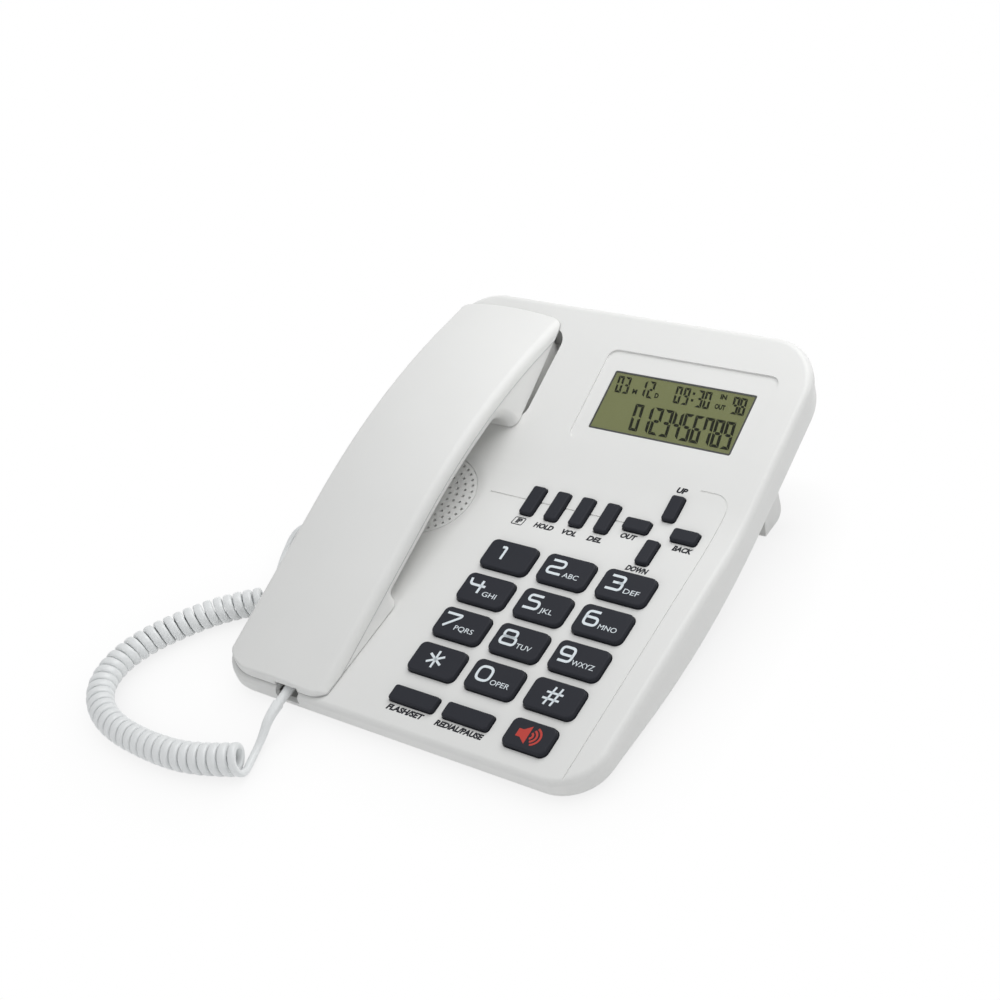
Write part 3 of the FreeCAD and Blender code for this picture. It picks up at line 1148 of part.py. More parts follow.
# Check and write
doc.recompute()
for item in doc.Objects:
    if "Invalid" in item.State or "Error" in item.State:
        raise RuntimeError("%s is in error" % item.Name)
for name, item in NODES.items():
    shape = item.Shape
    if shape.isNull() or not shape.isValid():
        raise RuntimeError("%s has no valid shape" % name)
for name, item in NODES.items():
    item.Shape.exportStep("parts/%s.step" % name)
print("pieces", len(NODES))
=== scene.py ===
"""Corded desk telephone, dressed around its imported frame: casing, keypad, display, handset and curly cord."""
import json
import logging
import math
from dataclasses import dataclass, field
from enum import Enum
from typing import Iterable, Sequence

import bmesh
import bpy
from mathutils import Matrix, Vector


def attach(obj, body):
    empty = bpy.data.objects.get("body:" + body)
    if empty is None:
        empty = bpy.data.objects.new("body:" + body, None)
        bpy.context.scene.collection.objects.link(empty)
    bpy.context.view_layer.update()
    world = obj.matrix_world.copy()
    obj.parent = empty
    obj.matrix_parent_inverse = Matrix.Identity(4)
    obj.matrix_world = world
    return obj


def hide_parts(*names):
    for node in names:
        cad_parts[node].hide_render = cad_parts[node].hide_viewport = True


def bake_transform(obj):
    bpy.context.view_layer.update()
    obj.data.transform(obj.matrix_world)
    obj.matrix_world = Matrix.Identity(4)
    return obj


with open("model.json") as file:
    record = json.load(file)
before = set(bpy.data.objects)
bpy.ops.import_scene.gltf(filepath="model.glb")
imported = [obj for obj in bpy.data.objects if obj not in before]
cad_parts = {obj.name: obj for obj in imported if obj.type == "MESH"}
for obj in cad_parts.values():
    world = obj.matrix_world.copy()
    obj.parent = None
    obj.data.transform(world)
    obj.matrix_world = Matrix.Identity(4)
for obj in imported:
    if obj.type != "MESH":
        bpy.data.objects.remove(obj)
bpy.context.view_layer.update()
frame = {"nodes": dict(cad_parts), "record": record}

MM = 0.001
log = logging.getLogger("telephone")

MERGE, SLIVER, WELD = 0.004 * MM, 0.002 * MM, 0.0005 * MM
FITTED_CREASE, PLAIN_CREASE, TUBE_CREASE = 28.0, 35.0, 50.0
MITRE_LEAST, MITRE_MOST = 0.3, 2.5
SIDE_SHARE = 0.49
MIX_FIRST, MIX_SECOND, MIX_RESULT = 6, 7, 2

Point = tuple[float, float]
Triple = tuple[float, float, float]
Stroke = tuple[tuple[Point, ...], bool]


class Body(Enum):
    """Moving bodies that pieces ride on, keys apart."""

    BASE = "base"
    HANDSET = "handset"
    HOOK = "hook"
    STAND = "stand"


class Slot(Enum):
    """Material slots of the record."""

    SHELL = "shell_white"
    KEY = "key_slate"
    PANE = "display_pane"
    PANEL = "display_panel"
    BOARD = "board_green"
    RUBBER = "rubber_grey"
    DARK = "dark_plastic"
    STEEL = "steel"
    CORD = "cord_white"


# Mesh helpers


def enter(name: str, data: bpy.types.ID) -> bpy.types.Object:
    """Object in the scene for a mesh, curve, lamp or camera."""
    item = bpy.data.objects.new(name, data)
    bpy.context.scene.collection.objects.link(item)
    return item


def link(name: str, mesh: bpy.types.Mesh) -> bpy.types.Object:
    """Object at the origin for a finished mesh.

    Args:
        name: Name of the piece.
        mesh: Its mesh, with the place in the vertices.

    Returns:
        The linked object.
    """
    mesh.name = name
    return enter(name, mesh)


def baked(piece: bpy.types.Object) -> bpy.types.Mesh:
    """Plain mesh of an object as its modifiers leave it."""
    graph = bpy.context.evaluated_depsgraph_get()
    return bpy.data.meshes.new_from_object(piece.evaluated_get(graph), depsgraph=graph)


def shade(mesh: bpy.types.Mesh, angle: float) -> None:
    """Smooth shading with edges sharper than an angle kept crisp.

    Args:
        mesh: Mesh to shade.
        angle: Angle between faces in degrees.
    """
    work = bmesh.new()
    work.from_mesh(mesh)
    limit = math.radians(angle)
    for face in work.faces:
        face.smooth = True
    for edge in work.edges:
        edge.smooth = len(edge.link_faces) == 2 and edge.calc_face_angle(0.0) < limit
    work.to_mesh(mesh)
    work.free()


def carve(piece: bpy.types.Object, cutter: bpy.types.Object) -> None:
    """Cut a closed shape out of a piece and drop the shape.

    Args:
        piece: The piece.
        cutter: Closed shape to cut out of it.
    """
    cut = piece.modifiers.new("seat", "BOOLEAN")
    cut.operation = "DIFFERENCE"
    cut.solver = "EXACT"
    cut.object = cutter
    piece.data = baked(piece)
    piece.modifiers.clear()
    bpy.data.meshes.remove(cutter.data)


def fitted_copy(node: str, name: str, cutter: bpy.types.Object | None) -> bpy.types.Object:
    """Copy of a solid with its loose triangles merged and its curved faces shaded smooth.

    Args:
        node: Name of the solid.
        name: Name of the new piece.
        cutter: Shape to cut out of the copy, if any.

    Returns:
        The new piece, not yet riding on anything.
    """
    mesh = frame["nodes"][node].data.copy()
    work = bmesh.new()
    work.from_mesh(mesh)
    bmesh.ops.remove_doubles(work, verts=work.verts, dist=MERGE)
    bmesh.ops.dissolve_degenerate(work, edges=work.edges, dist=SLIVER)
    work.to_mesh(mesh)
    work.free()
    if mesh.has_custom_normals:
        mesh.attributes.remove(mesh.attributes["custom_normal"])
    piece = link(name, mesh)
    if cutter is not None:
        carve(piece, cutter)
    shade(piece.data, FITTED_CREASE)
    weigh = piece.modifiers.new("even_normals", "WEIGHTED_NORMAL")
    weigh.keep_sharp = True
    piece.data = baked(piece)
    piece.modifiers.clear()
    return piece


def carried(path: Sequence[Vector], start: Vector) -> list[Vector]:
    """Directions square to a line, carried along it without twist.

    Args:
        path: Points of the line.
        start: Direction at its start.

    Returns:
        A direction for each point.
    """
    found: list[Vector] = []
    level = start
    for index in range(len(path)):
        heading = (path[min(index + 1, len(path) - 1)] - path[max(index - 1, 0)]).normalized()
        level = (level - heading * level.dot(heading)).normalized()
        found.append(level)
    return found


def sweep(
    path: Sequence[Vector], levels: Sequence[Vector], sizes: Sequence[Point], sides: int, blunt: float = 1.0
) -> bpy.types.Mesh:
    """Closed tube of round or blunt oval section along a line.

    Args:
        path: Points of the line in metres.
        levels: Direction of the section's first half axis at each point.
        sizes: Both half axes at each point in metres.
        sides: Sides of the section.
        blunt: Power that fills the section's corners out, 1 for an oval and less for a fuller one.

    Returns:
        The tube's mesh.
    """
    points: list[Vector] = []
    faces: list[tuple[int, ...]] = []
    turns = [2 * math.pi * (side + 0.5) / sides for side in range(sides)]
    ring_shape = [tuple(math.copysign(abs(wave(turn)) ** blunt, wave(turn)) for wave in (math.cos, math.sin))
                  for turn in turns]
    for index, (spot, level, size) in enumerate(zip(path, levels, sizes)):
        heading = (path[min(index + 1, len(path) - 1)] - path[max(index - 1, 0)]).normalized()
        rise = heading.cross(level)
        for near, far in ring_shape:
            points.append(spot + level * (size[0] * near) + rise * (size[1] * far))
    for ring in range(len(path) - 1):
        for side in range(sides):
            low, high, beside = ring * sides, (ring + 1) * sides, (side + 1) % sides
            faces.append((low + side, low + beside, high + beside, high + side))
    faces.append(tuple(reversed(range(sides))))
    faces.append(tuple(range((len(path) - 1) * sides, len(path) * sides)))
    mesh = bpy.data.meshes.new("tube")
    mesh.from_pydata([tuple(point) for point in points], [], faces)
    shade(mesh, TUBE_CREASE)
    return mesh


def coat(piece: bpy.types.Object, finish: bpy.types.Material) -> None:
    """Give a whole piece one material."""
    piece.data.materials.clear()
    piece.data.materials.append(finish)
    for face in piece.data.polygons:
        face.material_index = 0


def dress(
    piece: bpy.types.Object, body: str, slot: Slot, finish: bpy.types.Material, *nodes: str
) -> None:
    """Give a piece its finish and body, and hide the solids that it stands for.

    Args:
        piece: The piece.
        body: Body that it rides on.
        slot: Material slot of the record; not used.
        finish: Its material.
        nodes: Solids that it replaces.
    """
    coat(piece, finish)
    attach(piece, body)
    if nodes:
        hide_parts(*nodes)
    log.info("%s rides on %s", piece.name, body)


# Finishes


class Groups:
    """Node groups that several materials share."""

    def __init__(self) -> None:
        """Build each group once."""
        self.grain = self._grain()

    def _grain(self) -> bpy.types.NodeTree:
        """Fine moulded grain: a height for bump, a slow change of tint and of roughness."""
        tree = bpy.data.node_groups.new("moulded_grain", "ShaderNodeTree")
        faces = tree.interface
        for name, value in (("Scale", 9000.0), ("Cloud Scale", 40.0), ("Roughness", 0.4), ("Spread", 0.05)):
            faces.new_socket(name, in_out="INPUT", socket_type="NodeSocketFloat").default_value = value
        for name in ("Tint", "Soil"):
            faces.new_socket(name, in_out="INPUT", socket_type="NodeSocketColor")
        for name, kind in (("Height", "Float"), ("Roughness", "Float"), ("Color", "Color")):
            faces.new_socket(name, in_out="OUTPUT", socket_type="NodeSocket" + kind)
        nodes, links = tree.nodes, tree.links
        entry, leave = nodes.new("NodeGroupInput"), nodes.new("NodeGroupOutput")
        coords = nodes.new("ShaderNodeTexCoord")
        fine, cloud = nodes.new("ShaderNodeTexNoise"), nodes.new("ShaderNodeTexNoise")
        fine.inputs["Detail"].default_value = 2.0
        cloud.inputs["Detail"].default_value = 3.0
        links.new(coords.outputs["Object"], fine.inputs["Vector"])
        links.new(coords.outputs["Object"], cloud.inputs["Vector"])
        links.new(entry.outputs["Scale"], fine.inputs["Scale"])
        links.new(entry.outputs["Cloud Scale"], cloud.inputs["Scale"])
        links.new(fine.outputs["Fac"], leave.inputs["Height"])
        spread = nodes.new("ShaderNodeMath")
        spread.operation = "MULTIPLY_ADD"
        links.new(cloud.outputs["Fac"], spread.inputs[0])
        links.new(entry.outputs["Spread"], spread.inputs[1])
        links.new(entry.outputs["Roughness"], spread.inputs[2])
        links.new(spread.outputs[0], leave.inputs["Roughness"])
        mix = nodes.new("ShaderNodeMix")
        mix.data_type = "RGBA"
        links.new(cloud.outputs["Fac"], mix.inputs["Factor"])
        links.new(entry.outputs["Tint"], mix.inputs[MIX_FIRST])
        links.new(entry.outputs["Soil"], mix.inputs[MIX_SECOND])
        links.new(mix.outputs[MIX_RESULT], leave.inputs["Color"])
        return tree


def blank(name: str) -> tuple[bpy.types.Material, bpy.types.NodeTree, bpy.types.Node]:
    """New material, its node tree and its shader."""
    material = bpy.data.materials.new(name)
    material.use_nodes = True
    return material, material.node_tree, material.node_tree.nodes["Principled BSDF"]


@dataclass(frozen=True)
class Moulded:
    """Moulded plastic, rubber, ink or metal with a fine grain."""

    name: str
    tint: Triple
    soil: Triple
    rough: float
    scale: float = 9000.0
    depth: float = 0.05
    gloss: float = 0.0
    metal: float = 0.0
    shine: float = 0.5
    bump_height: float = 0.02

    def build(self, groups: Groups) -> bpy.types.Material:
        """Make the material.

        Args:
            groups: Shared node groups.

        Returns:
            The material.
        """
        material, tree, shader = blank(self.name)
        nodes, links = tree.nodes, tree.links
        shader.inputs["Metallic"].default_value = self.metal
        shader.inputs["Coat Weight"].default_value = self.gloss
        shader.inputs["Specular IOR Level"].default_value = self.shine
        grain = nodes.new("ShaderNodeGroup")
        grain.node_tree = groups.grain
        grain.inputs["Scale"].default_value = self.scale
        grain.inputs["Roughness"].default_value = self.rough
        grain.inputs["Tint"].default_value = (*self.tint, 1.0)
        grain.inputs["Soil"].default_value = (*self.soil, 1.0)
        bump = nodes.new("ShaderNodeBump")
        bump.inputs["Strength"].default_value = self.depth
        bump.inputs["Distance"].default_value = self.bump_height * MM
        links.new(grain.outputs["Height"], bump.inputs["Height"])
        links.new(bump.outputs["Normal"], shader.inputs["Normal"])
        links.new(grain.outputs["Roughness"], shader.inputs["Roughness"])
        links.new(grain.outputs["Color"], shader.inputs["Base Color"])
        return material


@dataclass(frozen=True)
class Clear:
    """Clear pane that light passes straight through."""

    name: str
    tint: Triple
    cover: float
    rough: float

    def build(self, groups: Groups) -> bpy.types.Material:
        """Make the material.

        Args:
            groups: Shared node groups, for the slow change of roughness.

        Returns:
            The material.
        """
        material, tree, shader = blank(self.name)
        nodes, links = tree.nodes, tree.links
        shader.inputs["Base Color"].default_value = (*self.tint, 1.0)
        shader.inputs["Alpha"].default_value = self.cover
        grain = nodes.new("ShaderNodeGroup")
        grain.node_tree = groups.grain
        grain.inputs["Roughness"].default_value = self.rough
        links.new(grain.outputs["Roughness"], shader.inputs["Roughness"])
        return material


class Finish(Enum):
    """Every finish of the telephone."""

    SHELL = Moulded("warm_white_shell", (0.78, 0.78, 0.765), (0.81, 0.81, 0.795), 0.42)
    KEY = Moulded("slate_key", (0.017, 0.0185, 0.025), (0.020, 0.0215, 0.028), 0.5, 7000.0, 0.1, shine=0.16)
    LEGEND = Moulded("pale_legend", (0.72, 0.78, 0.82), (0.75, 0.81, 0.84), 0.5)
    RED = Moulded("red_mark", (0.46, 0.030, 0.018), (0.50, 0.034, 0.020), 0.5)
    INK = Moulded("dark_ink", (0.016, 0.017, 0.022), (0.020, 0.021, 0.026), 0.6, shine=0.2)
    PANE = Clear("clear_pane", (0.30, 0.32, 0.24), 0.03, 0.04)
    PANEL = Moulded(
        "olive_display", (0.172, 0.185, 0.078), (0.190, 0.204, 0.088), 0.5, 5000.0, 0.02, shine=0.15)
    SEGMENT = Moulded("display_segment", (0.006, 0.0065, 0.004), (0.008, 0.0085, 0.005), 0.5, shine=0.02)
    BOARD = Moulded("board_lacquer", (0.02, 0.14, 0.05), (0.025, 0.17, 0.06), 0.3, 3000.0, 0.05, 0.3)
    RUBBER = Moulded("grey_rubber", (0.10, 0.10, 0.105), (0.12, 0.12, 0.125), 0.75, 4000.0, 0.15)
    DARK = Moulded("dark_plastic", (0.022, 0.023, 0.026), (0.028, 0.029, 0.032), 0.45)
    STEEL = Moulded("plated_steel", (0.58, 0.58, 0.57), (0.64, 0.64, 0.63), 0.28, 2500.0, 0.08, 0.0, 1.0)
    SEAM = Moulded("seam_shadow", (0.50, 0.50, 0.495), (0.54, 0.54, 0.535), 0.6)
    CORD = Moulded("white_cord", (0.85, 0.865, 0.865), (0.87, 0.885, 0.885), 0.32, 9000.0, 0.02)


class Palette:
    """Materials made from the finishes, one for each."""

    def __init__(self) -> None:
        """Make every material once."""
        groups = Groups()
        self.made = {finish: finish.value.build(groups) for finish in Finish}

    def __getitem__(self, finish: Finish) -> bpy.types.Material:
        """Material of a finish."""
        return self.made[finish]

    def of_slot(self, slot: Slot) -> bpy.types.Material:
        """Material of a slot of the record, whose finish has the same name."""
        return self.made[Finish[slot.name]]


# Stage


@dataclass(frozen=True)
class Lamp:
    """A soft lamp: place and size in metres, power in watts."""

    name: str
    place: Triple
    size: float
    power: float


@dataclass
class Studio:
    """Camera at the photograph's station, soft lamps and a white floor."""

    place: Triple = (385.1, -361.9, 433.9)
    azimuth: float = 47.297
    elevation: float = 36.954
    roll: float = -19.511
    lens: float = 66.95
    sensor: float = 36.0
    nearest: float = 0.01
    aim: Triple = (0.0, 0.0, 0.02)
    sky: float = 0.34
    sky_tint: Triple = (0.96, 0.98, 1.0)
    floor_reach: float = 3.0
    floor_shade: float = 0.9
    floor_rough: float = 0.9
    shadow_reach: float = 0.03
    shadow_least: float = 0.82
    lamps: tuple[Lamp, ...] = (
        Lamp("key_lamp", (0.09, 0.27, 0.47), 0.5, 2.3), Lamp("fill_lamp", (-0.40, -0.8, 0.18), 1.0, 2.2),
        Lamp("side_lamp", (0.7, -0.55, 0.16), 0.7, 1.3))

    def camera(self) -> None:
        """Place the camera, rolled as the photograph is."""
        az, el, roll = (math.radians(angle) for angle in (self.azimuth, self.elevation, self.roll))
        back = Vector((math.sin(az) * math.cos(el), -math.cos(az) * math.cos(el), math.sin(el)))
        right = Vector((math.cos(az), math.sin(az), 0.0))
        up = back.cross(right)
        turned = right * math.cos(roll) + up * math.sin(roll)
        upright = up * math.cos(roll) - right * math.sin(roll)
        data = bpy.data.cameras.new("photo_camera")
        data.lens = self.lens
        data.sensor_width = self.sensor
        data.sensor_fit = "HORIZONTAL"
        data.clip_start = self.nearest
        camera = enter(data.name, data)
        axes = Matrix((turned, upright, back)).transposed().to_4x4()
        camera.matrix_world = Matrix.Translation(Vector(self.place) * MM) @ axes
        bpy.context.scene.camera = camera

    def lamp(self, lamp: Lamp) -> None:
        """Place a soft square lamp that looks at the middle of the telephone."""
        data = bpy.data.lights.new(lamp.name, "AREA")
        data.size = lamp.size
        data.energy = lamp.power
        item = enter(lamp.name, data)
        item.location = lamp.place
        aim = Vector(self.aim) - Vector(lamp.place)
        item.rotation_euler = aim.to_track_quat("-Z", "Y").to_euler()

    def white(
        self, tree: bpy.types.NodeTree, rest: bpy.types.NodeSocket, kind: str
    ) -> tuple[bpy.types.NodeSocket, bpy.types.Node]:
        """White for the camera, for glossy and for clear rays, and another shader for the rest.

        Args:
            tree: Node tree of the world or of a material.
            rest: Shader that every other ray meets.
            kind: Node that gives the white.

        Returns:
            Socket with both shaders, and the node that gives the white.
        """
        nodes, links = tree.nodes, tree.links
        rays = nodes.new("ShaderNodeLightPath")
        shown = rays.outputs["Is Camera Ray"]
        for label in ("Is Transmission Ray", "Is Glossy Ray"):
            most = nodes.new("ShaderNodeMath")
            most.operation = "MAXIMUM"
            links.new(shown, most.inputs[0])
            links.new(rays.outputs[label], most.inputs[1])
            shown = most.outputs[0]
        glow = nodes.new(kind)
        glow.inputs["Color"].default_value = (1, 1, 1, 1)
        glow.inputs["Strength"].default_value = 1.0
        mix = nodes.new("ShaderNodeMixShader")
        links.new(shown, mix.inputs[0])
        links.new(rest, mix.inputs[1])
        links.new(glow.outputs[0], mix.inputs[2])
        return mix.outputs[0], glow

    def contact_shadow(self, tree: bpy.types.NodeTree, glow: bpy.types.Node) -> None:
        """Let the floor's white fall off where the telephone stands close over it.

        Args:
            tree: Node tree of the floor's material.
            glow: Node that gives the white.
        """
        near = tree.nodes.new("ShaderNodeAmbientOcclusion")
        near.inputs["Distance"].default_value = self.shadow_reach
        level = tree.nodes.new("ShaderNodeMapRange")
        level.inputs["To Min"].default_value = self.shadow_least
        tree.links.new(near.outputs["AO"], level.inputs["Value"])
        tree.links.new(level.outputs["Result"], glow.inputs["Strength"])

    def world(self) -> None:
        """Soft sky that the camera sees as white."""
        world = bpy.data.worlds.new("soft_sky")
        world.use_nodes = True
        bpy.context.scene.world = world
        tree = world.node_tree
        sky = tree.nodes["Background"]
        sky.inputs["Color"].default_value = (*self.sky_tint, 1.0)
        sky.inputs["Strength"].default_value = self.sky
        shown, _ = self.white(tree, sky.outputs[0], "ShaderNodeBackground")
        tree.links.new(shown, tree.nodes["World Output"].inputs["Surface"])

    def floor(self) -> None:
        """White floor with a soft shadow under the telephone."""
        mesh = bpy.data.meshes.new("floor")
        reach = self.floor_reach
        corners = [(-reach, -reach, 0), (reach, -reach, 0), (reach, reach, 0), (-reach, reach, 0)]
        mesh.from_pydata(corners, [], [(0, 1, 2, 3)])
        floor = link("floor", mesh)
        material, tree, shader = blank("white_floor")
        shader.inputs["Base Color"].default_value = (*(self.floor_shade,) * 3, 1.0)
        shader.inputs["Roughness"].default_value = self.floor_rough
        shown, glow = self.white(tree, shader.outputs[0], "ShaderNodeEmission")
        self.contact_shadow(tree, glow)
        tree.links.new(shown, tree.nodes["Material Output"].inputs["Surface"])
        mesh.materials.append(material)

    def build(self) -> None:
        """Camera, world, lamps and floor."""
        bpy.context.scene.view_settings.view_transform = "Standard"
        self.camera()
        self.world()
        for lamp in self.lamps:
            self.lamp(lamp)
        self.floor()


# Lettering and marks


@dataclass(frozen=True)
class PanelShape:
    """The sloping panel: a keypad slope and a steeper display slope with a bend between them."""

    bend_place: float = 16.5
    panel_front: float = 9.5
    front: float = -92.0
    keypad_tilt: float = 8.0
    display_tilt: float = 19.8
    bend_radius: float = 110.0

    @property
    def bend_height(self) -> float:
        """Height where the two slopes would meet."""
        return self.panel_front + (self.bend_place - self.front) * math.tan(math.radians(self.keypad_tilt))

    def spot(self, tilt: float, across: float, along: float, above: float = 0.0) -> Matrix:
        """Frame of a spot on a slope, measured along it from the bend.

        Args:
            tilt: Tilt of the slope in degrees.
            across: Place along X in millimetres.
            along: Place along the slope.
            above: Height over it.

        Returns:
            Matrix from local metres to the part's frame.
        """
        turn = math.radians(tilt)
        place = self.bend_place + along * math.cos(turn) - above * math.sin(turn)
        height = self.bend_height + along * math.sin(turn) + above * math.cos(turn)
        return Matrix.Translation(Vector((across, place, height)) * MM) @ Matrix.Rotation(turn, 4, "X")

    def curved(self, across: float, along: float, above: float = 0.0) -> Matrix:
        """Frame of a spot near the bend, on its arc where it lies within it."""
        reach = self.bend_radius * math.tan(math.radians(self.display_tilt - self.keypad_tilt) / 2)
        if along <= -reach:
            return self.spot(self.keypad_tilt, across, along, above)
        turn = (along + reach) / self.bend_radius
        start = self.spot(self.keypad_tilt, across, -reach)
        hub = Matrix.Translation((0, 0, self.bend_radius * MM))
        lower = Matrix.Translation((0, 0, (above - self.bend_radius) * MM))
        return start @ hub @ Matrix.Rotation(turn, 4, "X") @ lower

    def keypad(self, across: float, along: float, above: float = 0.0) -> Matrix:
        """Frame of a spot on the keypad slope."""
        return self.spot(self.keypad_tilt, across, along, above)

    def display(self, across: float, along: float, above: float = 0.0) -> Matrix:
        """Frame of a spot on the display slope."""
        return self.spot(self.display_tilt, across, along, above)


@dataclass
class Sheet:
    """Collects flat shapes of one colour, raised a little, and makes one mesh of them."""

    thick: float = 0.05
    work: bmesh.types.BMesh = field(default_factory=bmesh.new)

    def polygon(self, outline: Sequence[Point], place: Matrix) -> None:
        """Add a raised polygon.

        Args:
            outline: Corners in millimetres, counter-clockwise.
            place: Frame of the surface.
        """
        low = [self.work.verts.new(place @ Vector((x * MM, y * MM, 0.0))) for x, y in outline]
        high = [self.work.verts.new(place @ Vector((x * MM, y * MM, self.thick * MM))) for x, y in outline]
        self.work.faces.new(high)
        self.work.faces.new(list(reversed(low)))
        count = len(outline)
        for index in range(count):
            beside = (index + 1) % count
            self.work.faces.new((low[index], low[beside], high[beside], high[index]))

    def ribbon(self, points: Sequence[Point], width: float, place: Matrix, closed: bool = False) -> None:
        """Add a band of even width along a line.

        Args:
            points: Line in millimetres.
            width: Width of the band.
            place: Frame of the surface.
            closed: Whether the line returns to its start.
        """
        flat = [Vector((x, y)) for x, y in points]
        count = len(flat)
        left, right = [], []
        for index, spot in enumerate(flat):
            before = flat[index - 1] if closed or index else None
            after = flat[(index + 1) % count] if closed or index < count - 1 else None
            come = (spot - before).normalized() if before is not None else None
            leave = (after - spot).normalized() if after is not None else None
            come, leave = come or leave, leave or come
            heading = (come + leave).normalized()
            normal = Vector((-heading.y, heading.x))
            stretch = min(1 / max(heading.dot(leave), MITRE_LEAST), MITRE_MOST)
            left.append(spot + normal * (width / 2 * stretch))
            right.append(spot - normal * (width / 2 * stretch))
        rows = []
        for line, level in ((left, 0.0), (right, 0.0), (right, self.thick), (left, self.thick)):
            rows.append([self.work.verts.new(place @ Vector((p.x * MM, p.y * MM, level * MM))) for p in line])
        last = count if closed else count - 1
        for index in range(last):
            beside = (index + 1) % count
            for row in range(4):
                upper = rows[(row + 1) % 4]
                self.work.faces.new((rows[row][index], rows[row][beside], upper[beside], upper[index]))
        if not closed:
            self.work.faces.new([row[0] for row in rows])
            self.work.faces.new([row[-1] for row in reversed(rows)])

    def text(
        self, words: str, size: float, place: Matrix, width: float, slant: float = 0.0, weight: float = 0.0
    ) -> None:
        """Add words centred on a spot.

        Args:
            words: The words.
            size: Letter size in millimetres.
            place: Frame of the surface.
            width: Width of the whole word in millimetres.
            slant: Lean of the letters.
            weight: How much each stroke is thickened on either side.
        """
        curve = bpy.data.curves.new("words", "FONT")
        curve.body = words
        curve.size = size * MM
        curve.align_x = "CENTER"
        curve.align_y = "CENTER"
        curve.extrude = self.thick * MM / 2
        curve.offset = weight * MM
        curve.shear = slant
        curve.resolution_u = 3
        item = enter("words", curve)
        mesh = baked(item)
        spots = [vertex.co.x for vertex in mesh.vertices]
        stretch = width * MM / (max(spots) - min(spots))
        lift = Matrix.Translation((0, 0, self.thick * MM / 2))
        mesh.transform(place @ lift @ Matrix.Diagonal((stretch, 1, 1, 1)))
        self.work.from_mesh(mesh)
        bpy.data.objects.remove(item)
        bpy.data.curves.remove(curve)
        bpy.data.meshes.remove(mesh)

    def piece(self, name: str) -> bpy.types.Object:
        """Finished piece with its faces turned outwards."""
        bmesh.ops.remove_doubles(self.work, verts=self.work.verts, dist=WELD)
        bmesh.ops.recalc_face_normals(self.work, faces=self.work.faces)
        mesh = bpy.data.meshes.new(name)
        self.work.to_mesh(mesh)
        self.work.free()
        return link(name, mesh)


def rounded(points: Sequence[Point], radius: float, closed: bool = False, steps: int = 5) -> list[Point]:
    """Line of a letter with its corners rounded.

    Args:
        points: Corners in millimetres.
        radius: Corner radius, held to half of the shorter side.
        closed: Whether the line returns to its start.
        steps: Points on each corner.

    Returns:
        The rounded line.
    """
    flat = [Vector(point) for point in points]
    count = len(flat)
    found: list[Point] = []
    for index, spot in enumerate(flat):
        if not closed and index in (0, count - 1):
            found.append(tuple(spot))
            continue
        before, after = flat[index - 1], flat[(index + 1) % count]
        cut = min(radius, (before - spot).length * SIDE_SHARE, (after - spot).length * SIDE_SHARE)
        start, end = spot + (before - spot).normalized() * cut, spot + (after - spot).normalized() * cut
        for step in range(steps + 1):
            part = step / steps
            found.append(tuple(start * (1 - part) ** 2 + spot * (2 * part * (1 - part)) + end * part ** 2))
    return found


class KeyGlyphs:
    """Wide rounded figures of the keys, drawn with strokes in a unit box."""

    CORNER, ZERO_CORNER = 1.7, 2.4
    STRAIGHT: tuple[str, ...] = ("star", "hash")
    LINES: dict[str, tuple[Stroke, ...]] = {
        "1": ((((0.1, 0.93), (0.42, 0.98), (0.42, 0.0)), False),),
        "2": ((((0.05, 1.0), (1.0, 1.0), (1.0, 0.52), (0.0, 0.46), (0.0, 0.0), (1.0, 0.0)), False),),
        "3": ((((0.05, 1.0), (1.0, 1.0), (1.0, 0.53), (0.3, 0.53)), False),
              (((0.7, 0.53), (1.0, 0.53), (1.0, 0.0), (0.0, 0.0)), False)),
        "4": ((((-0.1, 1.03), (-0.03, 0.58), (1.1, 0.58)), False), (((0.78, 1.0), (0.78, 0.0)), False)),
        "5": ((((1.0, 1.0), (0.12, 1.0), (0.08, 0.58), (1.0, 0.58), (1.0, 0.0), (0.0, 0.0)), False),),
        "6": ((((0.92, 1.0), (0.0, 1.0), (0.0, 0.0), (1.0, 0.0), (1.0, 0.56), (0.05, 0.56)), False),),
        "7": ((((-0.05, 1.0), (0.95, 1.0), (0.93, 0.86), (0.1, 0.0)), False),),
        "8": ((((0.04, 0.53), (0.04, 1.0), (0.9, 1.0), (0.9, 0.53)), True),
              (((0.0, 0.0), (0.0, 0.53), (1.04, 0.53), (1.04, 0.0)), True)),
        "9": ((((0.08, 0.0), (1.0, 0.0), (1.0, 1.0), (0.0, 1.0), (0.0, 0.44), (0.95, 0.44)), False),),
        "0": ((((0.0, 0.0), (0.0, 1.0), (1.0, 1.0), (1.0, 0.0)), True),),
        "star": tuple((((0.5 - math.sin(turn) * 0.5, 0.5 - math.cos(turn) * 0.5),
                        (0.5 + math.sin(turn) * 0.5, 0.5 + math.cos(turn) * 0.5)), False)
                      for turn in (0.0, math.pi / 3, -math.pi / 3)),
        "hash": ((((0.24, 0.0), (0.42, 1.0)), False), (((0.62, 0.0), (0.8, 1.0)), False),
                 (((0.0, 0.33), (0.95, 0.33)), False), (((0.06, 0.67), (1.0, 0.67)), False)),
    }

    def draw(self, sheet: Sheet, name: str, middle: Point, size: Point, width: float, place: Matrix) -> None:
        """Draw one figure.

        Args:
            sheet: Sheet that takes it.
            name: Name of the figure.
            middle: Its middle in millimetres.
            size: Width and height over the middle of its strokes.
            width: Width of the stroke.
            place: Frame of the surface.
        """
        for line, closed in self.LINES[name]:
            points = [((x - 0.5) * size[0] + middle[0], (y - 0.5) * size[1] + middle[1]) for x, y in line]
            corner = self.ZERO_CORNER if name == "0" else self.CORNER
            shaped = points if name in self.STRAIGHT else rounded(points, corner, closed)
            sheet.ribbon(shaped, width, place, closed)


